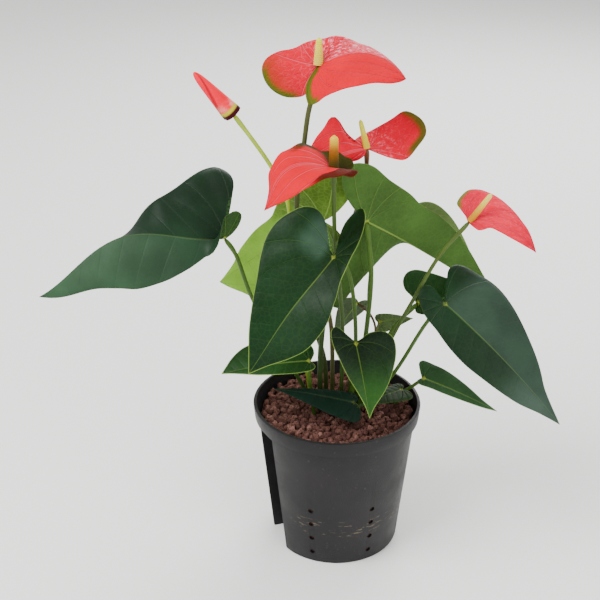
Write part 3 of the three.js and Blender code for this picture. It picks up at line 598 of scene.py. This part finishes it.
class Shader:
    """A material's node tree with short ways to add to it."""

    def __init__(self, name):
        self.material = bpy.data.materials.new(name)
        self.material.use_nodes = True
        self.tree = self.material.node_tree
        self.surface = self.tree.nodes["Principled BSDF"]

    def put(self, socket, value):
        if isinstance(value, bpy.types.NodeSocket):
            self.tree.links.new(value, socket)
        else:
            socket.default_value = value

    def fill(self, sockets, values):
        for socket, value in zip(sockets, values):
            self.put(socket, value)

    def node(self, kind, **inputs):
        made = self.tree.nodes.new(kind)
        for key, value in inputs.items():
            self.put(made.inputs[key.replace("_", " ")], value)
        return made

    def read(self, name):
        made = self.tree.nodes.new("ShaderNodeAttribute")
        made.attribute_name = name
        return made.outputs["Fac"]

    def place(self):
        return self.tree.nodes.new("ShaderNodeTexCoord").outputs["Object"]

    def math(self, operation, *values):
        made = self.tree.nodes.new("ShaderNodeMath")
        made.operation = operation
        self.fill(made.inputs, values)
        return made.outputs[0]

    def times(self, first, *others):
        for other in others:
            first = self.math("MULTIPLY", first, other)
        return first

    def plus(self, first, *others):
        for other in others:
            first = self.math("ADD", first, other)
        return first

    def minus(self, first, second):
        return self.math("SUBTRACT", first, second)

    def most(self, first, second):
        return self.math("MAXIMUM", first, second)

    def far(self, x, y):
        """Distance of the flat place (x, y) from (0, 0)."""
        return self.math("SQRT", self.plus(self.times(x, x), self.times(y, y)))

    def ramp(self, value, start, end, low=0.0, high=1.0):
        """Eases from low to high as value goes from start to end."""
        made = self.tree.nodes.new("ShaderNodeMapRange")
        made.interpolation_type = "SMOOTHSTEP"
        self.fill(made.inputs, (value, start, end, low, high))
        return made.outputs[0]

    def mix(self, share, first, second):
        made = self.tree.nodes.new("ShaderNodeMix")
        made.data_type = "RGBA"
        self.fill((made.inputs[0], *made.inputs[6:8]), (share, first, second))
        return made.outputs[2]

    def dim(self, colour, factor):
        """Multiplies a colour by a factor."""
        made = self.tree.nodes.new("ShaderNodeVectorMath")
        made.operation = "SCALE"
        self.put(made.inputs[0], colour if isinstance(colour, bpy.types.NodeSocket) else colour[:3])
        self.put(made.inputs["Scale"], factor)
        return made.outputs[0]

    def noise(self, scale, detail=4.0, place=None):
        vector = place or self.place()
        return self.node("ShaderNodeTexNoise", Vector=vector, Scale=scale, Detail=detail).outputs["Fac"]

    def cells(self, place, scale):
        """Distance to the nearest line of a net."""
        made = self.node("ShaderNodeTexVoronoi", Vector=place, Scale=scale)
        made.feature = "DISTANCE_TO_EDGE"
        return made.outputs["Distance"]

    def bump(self, height, depth, strength=1.0):
        made = self.node("ShaderNodeBump", Height=height, Distance=depth, Strength=strength)
        self.put(self.surface.inputs["Normal"], made.outputs[0])

    def finish(self, colour, roughness, specular=0.2, subsurface=0.0):
        self.put(self.surface.inputs["Base Color"], colour)
        self.put(self.surface.inputs["Roughness"], roughness)
        self.surface.inputs["Specular IOR Level"].default_value = specular
        self.surface.inputs["Subsurface Weight"].default_value = subsurface
        self.surface.inputs["Subsurface Scale"].default_value = 0.002
        return self.material


def vein_masks(shader, laterals):
    """Masks of the midrib and of the side veins, and how far a place is between veins, from 0 to 1."""
    x, y, length = shader.read("along"), shader.read("across"), shader.read("length")
    ahead = shader.minus(1.0, x)
    arc = shader.plus(shader.math("ARCTAN2", y, x), shader.math("ARCTAN2", y, ahead))
    from_base = shader.far(x, y)
    past_first = shader.minus(arc, FIRST_ARC)
    gap = shader.math("PINGPONG", shader.math("DIVIDE", past_first, VEIN_ARCS), 0.5)
    side_mm = shader.times(gap, shader.times(from_base, shader.far(ahead, y), VEIN_ARCS), length)
    between = shader.times(gap, 2.0)
    if laterals:
        slant = shader.minus(x, shader.times(y, VEIN_SLANT))
        lateral = shader.math("PINGPONG", shader.math("DIVIDE", slant, VEIN_LATERALS), 0.5)
        lateral_mm = shader.times(lateral, VEIN_LATERALS * 0.85, length)
        inner = shader.math("LESS_THAN", arc, FIRST_ARC)
        outer = shader.minus(1.0, inner)
        side_mm = shader.plus(shader.times(lateral_mm, inner), shader.times(side_mm, outer))
        between = shader.plus(shader.times(lateral, 0.5, inner), shader.times(between, outer))
    width = shader.ramp(x, 0.0, 1.0, 0.75, 0.3)
    midrib = shader.ramp(shader.math("DIVIDE", shader.times(y, length), width), 0.5, 1.3, 1.0, 0.0)
    midrib = shader.times(midrib, shader.math("GREATER_THAN", x, 0.0), shader.ramp(x, 0.1, 0.9, 1.0, 0.5))
    width = shader.ramp(from_base, 0.0, 0.8, 0.55, 0.25)
    side_vein = shader.ramp(shader.math("DIVIDE", side_mm, width), 0.5, 1.3, 1.0, 0.0)
    if laterals:
        side_vein = shader.times(side_vein, shader.minus(1.0, shader.times(inner, 0.85)))
    return midrib, side_vein, between


def leaf_materials(name, looks):
    upper, under, vein, gloss, veins, rim = looks
    sheen_and_tint_face, sheen_and_tint_colour = LEAF_SHEEN_AND_TINT.get(name, (None, None))
    made = []
    for face, colour, strength in (("upper", upper, veins), ("under", under, UNDER_VEINS)):
        shader = Shader(f"leaf_{name}_{face}")
        midrib, side_vein, between = vein_masks(shader, laterals=True)
        # Patch of painted sheen on some leaves, and of another green on others
        if sheen_and_tint_face == face:
            colour = shader.mix(shader.read("sheen_and_tint"), colour, sheen_and_tint_colour)
        mottle = shader.times(shader.ramp(shader.noise(34.0, 6.0), 0.3, 0.7, 0.78, 1.16),
                              shader.ramp(shader.noise(9.0), 0.35, 0.65, 0.82, 1.12))
        base = shader.dim(colour, mottle)
        net = shader.ramp(shader.cells(shader.place(), 260.0), 0.0, 0.12, 1.0, 0.0)
        base = shader.mix(shader.times(net, 0.3 * strength), base, vein)
        base = shader.mix(shader.times(side_vein, strength), base, vein)
        base = shader.mix(shader.times(midrib, min(0.8, 1.8 * strength)), base, PALE)
        base = shader.mix(shader.ramp(shader.read("edge"), 0.3, 0.7, rim, 0.0), base, PALE)
        run = shader.plus(shader.math("ABSOLUTE", shader.read("along")), shader.read("across"))
        start = shader.ramp(shader.times(shader.read("length"), run), 1.0, 3.0, min(0.85, 4 * strength), 0.0)
        base = shader.mix(start, base, JUNCTION_GREEN)
        sunk = shader.times(shader.most(side_vein, midrib), -0.5 if face == "upper" else 0.7)
        quilt = shader.times(shader.math("POWER", between, 0.5), 0.6 if face == "upper" else -0.3)
        grain = shader.times(shader.noise(700.0), 0.12)
        shader.bump(shader.plus(sunk, quilt, grain), 0.0007)
        rough = gloss + 0.22
        if face == "upper":
            rough = shader.ramp(shader.noise(60.0), 0.3, 0.7, gloss, gloss + 0.14)
        made.append(shader.finish(base, rough, specular=LEAF_SHINE))
    return made


def fan_place(shader, half):
    """Texture place that runs out from the junction: angle, then distance, both wandering a little."""
    along, across = shader.read("along"), shader.read("across")
    wander = shader.times(shader.noise(110.0), 1.4)
    turn = shader.times(shader.math("ARCTAN2", across, along), 7.0)
    run = shader.times(shader.plus(shader.math("ABSOLUTE", along), across), 9.0)
    turn, run = shader.plus(turn, wander), shader.plus(run, wander)
    return shader.node("ShaderNodeCombineXYZ", X=turn, Y=run, Z=half).outputs[0]


def spathe_materials(name, looks):
    made = []
    for face in ("upper", "under"):
        shader = Shader(f"spathe_{name}_{face}")
        midrib, side_vein, between = vein_masks(shader, laterals=False)
        half = shader.read("half")
        colour = shader.mix(half, *looks["reds"]) if face == "upper" else looks["under"]
        base = shader.dim(colour, shader.ramp(shader.noise(34.0), 0.3, 0.7, 0.82, 1.0))
        place = fan_place(shader, half)
        net = shader.ramp(shader.cells(place, 1.0), 0.0, 0.09, 1.0, 0.0)
        veins = shader.most(side_vein, midrib)
        share = shader.most(shader.times(net, shader.read("net")), shader.times(veins, shader.read("veins")))
        base = shader.mix(share, base, SPATHE_PINK)
        if face == "upper":
            # Painted highlight: pale pink spots where the spathe is glossy
            spots = shader.ramp(shader.noise(1.7, 5.0, place), 0.5, 0.68)
            base = shader.mix(shader.times(spots, shader.read("highlight")), base, HIGHLIGHT_PINK)
        base = shader.mix(shader.read("rust"), base, looks["rust"])
        base = shader.mix(shader.read("olive"), base, looks["olive"])
        quilt = shader.times(shader.math("POWER", between, 0.5), 0.5)
        shader.bump(shader.plus(shader.times(veins, -0.7), shader.times(net, -0.25), quilt), 0.0006)
        rough = shader.ramp(half, 0.0, 1.0, *looks["rough"]) if face == "upper" else 0.55
        made.append(shader.finish(base, rough, specular=SPATHE_SHINE))
    return made


def stem_material(name, foot, top):
    shader = Shader(name)
    base = shader.mix(shader.ramp(shader.read("rise"), 0.0, 1.0), foot, top)
    streak = shader.ramp(shader.noise(160.0), 0.35, 0.7, 0.0, 0.35)
    base = shader.mix(streak, base, tuple(c * 0.6 for c in top[:3]) + (1.0,))
    shader.bump(shader.noise(500.0), 0.0003)
    return shader.finish(base, 0.45)


def spadix_material(name, foot, middle, top):
    shader = Shader(name)
    rise = shader.read("rise")
    base = shader.mix(shader.ramp(rise, 0.15, 0.75), foot, middle)
    base = shader.mix(shader.ramp(rise, 0.55, 0.95), base, top)
    base = shader.mix(shader.times(shader.read("groove"), 0.45), base, FLORET_GROOVE)
    return shader.finish(base, 0.65, subsurface=0.1)


def bud_material():
    shader = Shader("bud_spathe")
    rise = shader.read("rise")
    base = shader.mix(shader.ramp(shader.noise(60.0), 0.3, 0.7), *BUD_LOOKS["reds"])
    base = shader.mix(shader.ramp(shader.read("seam"), 0.01, 0.06, 0.5, 0.0), base, BUD_LOOKS["seam"])
    streak = shader.times(shader.ramp(shader.noise(150.0), 0.35, 0.6),
                          shader.ramp(rise, 0.16, 0.34, 0.7, 0.0))
    base = shader.mix(streak, base, BUD_LOOKS["streak"])
    base = shader.mix(shader.ramp(rise, 0.12, 0.17, 1.0, 0.0), base, BUD_LOOKS["band"])
    base = shader.mix(shader.ramp(rise, 0.06, 0.1, 1.0, 0.0), base, BUD_LOOKS["foot"])
    return shader.finish(base, 0.4, specular=SPATHE_SHINE)


def pot_material():
    shader = Shader("pot_plastic")
    place = shader.place()
    parts = shader.node("ShaderNodeSeparateXYZ", Vector=place)
    height = parts.outputs["Z"]
    base = shader.mix(shader.ramp(shader.noise(24.0), 0.35, 0.7), *CHARCOALS)
    band = shader.times(shader.ramp(height, 0.026, 0.03), shader.ramp(height, 0.04, 0.045, 1.0, 0.0),
                        shader.math("GREATER_THAN", parts.outputs["X"], -0.036))
    stretched = shader.node("ShaderNodeMapping", Vector=place, Scale=(1.0, 1.0, 3.5)).outputs[0]
    lime = shader.ramp(shader.noise(130.0, 8.0, stretched), 0.58, 0.66)
    base = shader.mix(shader.times(lime, band, 0.3), base, LIME_STAIN)
    dust = shader.ramp(shader.noise(420.0, 2.0), 0.66, 0.74, 0.0, 0.12)
    base = shader.mix(dust, base, DUST)
    shader.bump(shader.noise(1400.0, 2.0), 0.0002, 0.6)
    return shader.finish(base, shader.ramp(shader.noise(50.0), 0.3, 0.7, 0.42, 0.54))


def granule_material():
    shader = Shader("lava_granules")
    shade = shader.read("shade")
    base = shader.mix(shader.ramp(shade, 0.0, 0.6), LAVA["dark"], LAVA["mid"])
    base = shader.mix(shader.ramp(shade, 0.84, 1.0), base, LAVA["light"])
    # Painted shade in the pits of the porous lava
    base = shader.mix(shader.ramp(shader.noise(900.0, 6.0), 0.32, 0.55), LAVA["pit_shade"], base)
    shader.bump(shader.noise(1100.0, 6.0), 0.0005)
    return shader.finish(base, 0.92, specular=0.1)


# Stems, spadices and bud

def circle(sides):
    """Angles of evenly spaced places round a circle."""
    return 2 * np.pi * np.arange(sides) / sides


def tube_faces(rows, sides, first=0):
    """Faces of a closed tube: quads between its rows of places, and a cap at each end."""
    faces = []
    for start in range(first, first + (rows - 1) * sides, sides):
        for k in range(sides):
            a, b = start + k, start + (k + 1) % sides
            faces.append((a, b, b + sides, a + sides))
    last = first + (rows - 1) * sides
    return faces + [tuple(reversed(range(first, first + sides))), tuple(range(last, last + sides))]


def tube(points, radii, sides):
    """Places of a tube with the given radii round a line."""
    points = np.asarray(points, float)
    ways = np.gradient(points, axis=0)
    ways /= np.linalg.norm(ways, axis=1)[:, None]
    first = np.cross(ways[0], (0.0, 1.0, 0.3))
    places = []
    for point, way, radius in zip(points, ways, radii):
        first = first - first @ way * way
        first /= np.linalg.norm(first)
        second = np.cross(way, first)
        places += [point + radius * (math.cos(a) * first + math.sin(a) * second) for a in circle(sides)]
    return np.array(places)


def spun(base, axis, reach, aside, radii, angles):
    """Places round a straight axis, row by row; aside is any way that isn't along the axis."""
    first = np.cross(axis, aside)
    first /= np.linalg.norm(first)
    second = np.cross(axis, first)
    ring = np.cos(angles)[..., None] * first + np.sin(angles)[..., None] * second
    return (base + reach[:, None, None] * axis + radii[..., None] * ring).reshape(-1, 3)


def stem_piece(node, given, top):
    x, y = given["foot"]
    points = [(x, y, SOIL_LEVEL - STEM_FOOT_DEPTH), (x, y, SOIL_LEVEL + 2), *given["path"], top]
    end = np.array(points[-1], float)
    way = np.array(points[-2], float) - end
    points[-1] = tuple(end + STEM_END_GAP * way / np.linalg.norm(way))
    run = sum(math.dist(a, b) for a, b in zip(points, points[1:]))
    line = centripetal(points, max(12, round(run / STEM_STEP)))
    share = np.linspace(0, 1, len(line))
    knee = KNEE_SWELL * np.exp(-(((1 - share) * run - KNEE_FROM_TOP) / KNEE_LENGTH) ** 2)
    foot = FOOT_SWELL * np.exp(-share * run / FOOT_LENGTH)
    radii = given["radius"] * (0.94 + knee + foot)
    radii[0] *= 0.5
    radii[-1] *= 0.6
    obj = mesh_object(f"{node}_fine", tube(line, radii, STEM_SIDES), tube_faces(len(line), STEM_SIDES),
                      rise=np.repeat(share, STEM_SIDES))
    dress(obj, node, stem_material(node, *STEM_LOOKS.get(node, PETIOLE_GREEN)))


def spadix_piece(name, given):
    """Spadix with rows of florets, which stand in a net of grooves."""
    length, radius, taper = (given["spadix"][key] for key in ("length", "radius", "taper"))
    lean = np.array(given["spadix"]["lean"], float)
    lean /= np.linalg.norm(lean)
    florets = round(length / (2 * math.pi * radius * 0.8 / FLORET_LINES))
    share = np.linspace(0, 1, SPADIX_ROWS)
    rounding = np.sqrt(np.clip(1 - eased(share, 0.86, 1.0) ** 2 * 0.93, 0, 1))
    angles = circle(SPADIX_SIDES)
    grid = np.cos(FLORET_LINES * angles)[None, :] * np.cos(np.pi * florets * share)[:, None]
    bump = np.abs(grid) ** 0.7
    radii = (radius * (1 - taper * share) * rounding)[:, None] * (0.9 + 0.1 * bump)
    base = np.array(given["junction"], float) + lean * SPADIX_LIFT
    places = spun(base, lean, share * (length - SPADIX_TRIM), (0.0, 1.0, 0.2), radii, angles)
    node = f"spadix_{name}"
    obj = mesh_object(f"{node}_fine", places, tube_faces(SPADIX_ROWS, SPADIX_SIDES),
                      rise=np.repeat(share, SPADIX_SIDES), groove=(1 - bump).ravel())
    dress(obj, node, spadix_material(node, *SPADIX_LOOKS[name]))


def bud_piece():
    """Closed spathe: a tapering roll whose free edge winds round it as a step."""
    base, tip = np.array(BUD["base"], float), np.array(BUD["tip"], float)
    axis = tip - base
    length = np.linalg.norm(axis)
    axis /= length
    share = np.linspace(0, 1, BUD_ROWS)
    girth = BUD["radius"] * (1 - 0.62 * share) * np.sqrt(1 - share ** 10) + 0.1
    around = np.arange(BUD_SIDES) / BUD_SIDES
    radii = girth[:, None] * (1 + 0.16 * around)[None, :]
    angles = 2 * np.pi * around[None, :] + 2.4 * share[:, None]
    places = spun(base, axis, share * length * 0.98, (0.0, 1.0, 0.0), radii, angles)
    obj = mesh_object("spathe_bud_fine", places, tube_faces(BUD_ROWS, BUD_SIDES),
                      rise=np.repeat(share, BUD_SIDES),
                      seam=np.tile(np.minimum(around, 1 - around), BUD_ROWS))
    obj.data.set_sharp_from_angle(angle=math.radians(50))
    dress(obj, "spathe_bud", bud_material())


# Pot and granules

def wall_radius(height):
    return BASE_RADIUS + (WALL_RADIUS_UNDER_RIM - BASE_RADIUS) * height / UNDER_RIM


def turned(out, aside, height, angle):
    """Place out from the pot's axis along a way at an angle in degrees, and aside from that way."""
    c, s = math.cos(math.radians(angle)), math.sin(math.radians(angle))
    return (out * c - aside * s, out * s + aside * c, height)


def lathe(name, profile):
    """Closed round form from its (radius, height) profile."""
    places = [(radius * math.cos(a), radius * math.sin(a), height) for radius, height in profile
              for a in circle(POT_SIDES)]
    return mesh_object(name, places, tube_faces(len(profile), POT_SIDES))


def recess_block(name, grow=0):
    """Block that cuts the recess, leaning with the wall's taper."""
    half = RECESS_WIDTH / 2 + grow
    back = -RECESS_DEPTH - grow
    corners = ((back, -half), (RECESS_REACH, -half), (RECESS_REACH, half), (back, half))
    places = [turned(wall_radius(z) + x, y, z, RECESS_ANGLE)
              for z in (-RECESS_UNDERCUT - grow, RECESS_TOP + grow) for x, y in corners]
    return mesh_object(name, places, tube_faces(2, len(corners)), smooth=False)


def cut(obj, *cutters):
    for cutter in cutters:
        modifier = obj.modifiers.new("cut", "BOOLEAN")
        modifier.operation = "DIFFERENCE"
        modifier.solver = "EXACT"
        modifier.object = cutter
    depsgraph = bpy.context.evaluated_depsgraph_get()
    mesh = bpy.data.meshes.new_from_object(obj.evaluated_get(depsgraph))
    obj.modifiers.clear()
    old = obj.data
    obj.data = mesh
    bpy.data.meshes.remove(old)
    for cutter in cutters:
        bpy.data.objects.remove(cutter)


def cavity(name, gap=0.0, level=POT_HEIGHT + 5):
    """The pot's inside up to a level, smaller by a gap, with the recess's wall left out."""
    profile = [(wall_radius(WALL) - WALL - gap, WALL + gap),
               (WALL_RADIUS_UNDER_RIM - WALL - gap, UNDER_RIM - 1)]
    if level > POT_HEIGHT:
        profile += [(RIM_RADIUS - WALL - RIM_LIP - gap, UNDER_RIM + 3), (RIM_RADIUS - WALL - gap, level)]
    else:
        profile += [(WALL_RADIUS_UNDER_RIM - WALL - gap, level)]
    obj = lathe(name, profile)
    cut(obj, recess_block("recess_inner", WALL + gap))
    return obj


def hole_drills():
    places, faces = [], []
    for angle in HOLE_ROW_ANGLES:
        for height in HOLE_HEIGHTS:
            faces += tube_faces(2, DRILL_SIDES, len(places))
            places += [turned(wall_radius(height) + out, HOLE_RADIUS * math.cos(a),
                              height + HOLE_RADIUS * math.sin(a), angle)
                       for out in (-DRILL_REACH, DRILL_REACH) for a in circle(DRILL_SIDES)]
    return mesh_object("hole_drills", places, faces, smooth=False)


def pot_piece():
    profile = [(BASE_RADIUS - 1.5, 0), (BASE_RADIUS - 0.4, 0.4), (BASE_RADIUS, 1.5),
               (WALL_RADIUS_UNDER_RIM, UNDER_RIM), (RIM_RADIUS - RIM_LIP, UNDER_RIM + 0.5),
               (RIM_RADIUS - 0.9, UNDER_RIM + 2), (RIM_RADIUS, POT_HEIGHT - 1),
               (RIM_RADIUS - 0.3, POT_HEIGHT - 0.3), (RIM_RADIUS - 1, POT_HEIGHT)]
    pot = lathe("pot_fine", profile)
    cut(pot, recess_block("recess"), cavity("cavity"), hole_drills())
    pot.data.shade_smooth()
    pot.data.set_sharp_from_angle(angle=math.radians(32))
    pot.data.materials.clear()
    dress(pot, "pot", pot_material())


def rock_shape():
    """Corners and faces of a small ball: twenty triangles, each split into four."""
    golden = (1 + 5 ** 0.5) / 2
    corners = [np.roll((0, a, b * golden), k) for k in range(3) for a in (-1, 1) for b in (-1, 1)]
    faces, middles = [], {}
    for trio in itertools.combinations(range(len(corners)), 3):
        edges = [trio[:2], trio[1:], trio[::2]]
        if any(np.linalg.norm(corners[a] - corners[b]) > 2.1 for a, b in edges):
            continue
        for edge in edges:
            if edge not in middles:
                middles[edge] = len(corners) + len(middles)
        (a, b, c), (d, e, f) = trio, (middles[edge] for edge in edges)
        quarters = [(a, d, f), (b, e, d), (c, f, e), (d, e, f)]
        outward = np.linalg.det([corners[k] for k in trio]) > 0
        faces += quarters if outward else [quarter[::-1] for quarter in quarters]
    corners += [(corners[a] + corners[b]) / 2 for a, b in middles]
    return np.array([corner / np.linalg.norm(corner) for corner in corners]), faces


def chipped(corners, draw):
    """Flattens a ball's corners against a few random planes, which gives an angular granule."""
    shape = corners.copy()
    for _ in range(ROCK_CHIPS):
        way = draw.normal(size=3)
        way /= np.linalg.norm(way)
        shape -= np.maximum(shape @ way - draw.uniform(0.5, 0.8), 0)[:, None] * way
    return shape * 1.15


def granules_piece():
    """The bed and the loose granules on it, in slanted rows of two layers."""
    draw = np.random.default_rng(ROCK_SEED)
    bed = cavity("bed", BED_GAP, BED_LEVEL)
    places = [np.array([v.co for v in bed.data.vertices]) / MM]
    faces = [tuple(p.vertices) for p in bed.data.polygons]
    shades = [np.full(len(places[0]), 0.1)]
    bpy.data.objects.remove(bed)
    corners, rock_faces = rock_shape()
    count = len(places[0])
    reach = RIM_RADIUS - WALL - RIM_LIP
    rows = math.ceil(reach / ROCK_SPACING) + 2
    steps = range(-rows, rows + 1)
    spots = [(layer, row, column) for layer in ROCK_LAYERS for row in steps for column in steps]
    for (raised, chance, small, large), row, column in spots:
        jitter = draw.uniform(-ROCK_JITTER, ROCK_JITTER, 2)
        size = draw.uniform(small, large)
        stretch = draw.uniform(0.75, 1.2, 3)
        turn = np.linalg.qr(draw.normal(size=(3, 3)))[0]
        shade, keep, drop = draw.uniform(0, 1, 3)
        x = (column + 0.5 * (row % 2)) * ROCK_SPACING + jitter[0]
        y = row * ROCK_SPACING * ROW_SHARE + jitter[1]
        if math.hypot(x, y) + size * 1.2 > reach - 1 or keep > chance:
            continue
        shape = (chipped(corners, draw) * stretch) @ turn * size
        places.append(shape + (x, y, BED_LEVEL + raised + 0.8 * drop))
        faces += [tuple(v + count for v in face) for face in rock_faces]
        shades.append(np.full(len(corners), shade))
        count += len(corners)
    obj = mesh_object("granules_fine", np.vstack(places), faces, smooth=False, shade=np.concatenate(shades))
    dress(obj, "granules", granule_material())


# Camera, light and floor

def add_camera():
    data = bpy.data.cameras.new("camera")
    data.lens = LENS
    data.sensor_width = SENSOR
    camera = bpy.data.objects.new("camera", data)
    camera.location = CAMERA_AT
    camera.rotation_euler = (math.radians(90 - CAMERA_DOWN), 0, 0)
    bpy.context.scene.collection.objects.link(camera)
    bpy.context.scene.camera = camera


def add_light(name, at, aim, size, power):
    data = bpy.data.lights.new(name, "AREA")
    data.shape = "SQUARE"
    data.size = size
    data.energy = power
    light = bpy.data.objects.new(name, data)
    light.location = at
    way = np.array(at, float) - np.array(aim, float)
    flat = math.hypot(way[0], way[1])
    light.rotation_euler = (math.atan2(flat, way[2]), 0, math.atan2(way[1], way[0]) + math.pi / 2)
    bpy.context.scene.collection.objects.link(light)


def add_stage():
    corners = [(x * FLOOR_REACH, y * FLOOR_REACH, 0) for x, y in ((-1, -1), (1, -1), (1, 1), (-1, 1))]
    floor = mesh_object("floor", corners, [(0, 1, 2, 3)], smooth=False)
    floor.data.materials.append(Shader("floor_paper").finish(FLOOR_WHITE, 0.9, specular=0.1))
    world = bpy.data.worlds.new("studio")
    world.use_nodes = True
    sky = world.node_tree.nodes["Background"]
    sky.inputs["Color"].default_value = (1.0, 1.0, 1.0, 1.0)
    sky.inputs["Strength"].default_value = SKY_STRENGTH
    bpy.context.scene.world = world


add_camera()
add_stage()
for name, light in LIGHTS.items():
    add_light(name, **light)

for seed, (name, given) in enumerate(LEAVES.items()):
    blade = Blade(given)
    ruffle = LEAF_RUFFLE if blade.length > LONG_LEAF else SMALL_LEAF_RUFFLE
    blade_piece("leaf", name, blade, leaf_materials(name, LEAF_LOOKS[name]), ruffle, seed, leaf_marks)
    stem_piece(f"petiole_{name}", given["stem"], given["junction"])

for seed, (name, given) in enumerate(BLOOMS.items(), FIRST_BLOOM_SEED):
    materials = spathe_materials(name, SPATHE_LOOKS[name])
    blade_piece("spathe", name, Blade(given), materials, SPATHE_RUFFLE, seed, spathe_marks)
    spadix_piece(name, given)
    stem_piece(f"peduncle_{name}", given["stem"], given["junction"])

bud_piece()
stem_piece("peduncle_bud", BUD["stem"], BUD["base"])
pot_piece()
granules_piece()
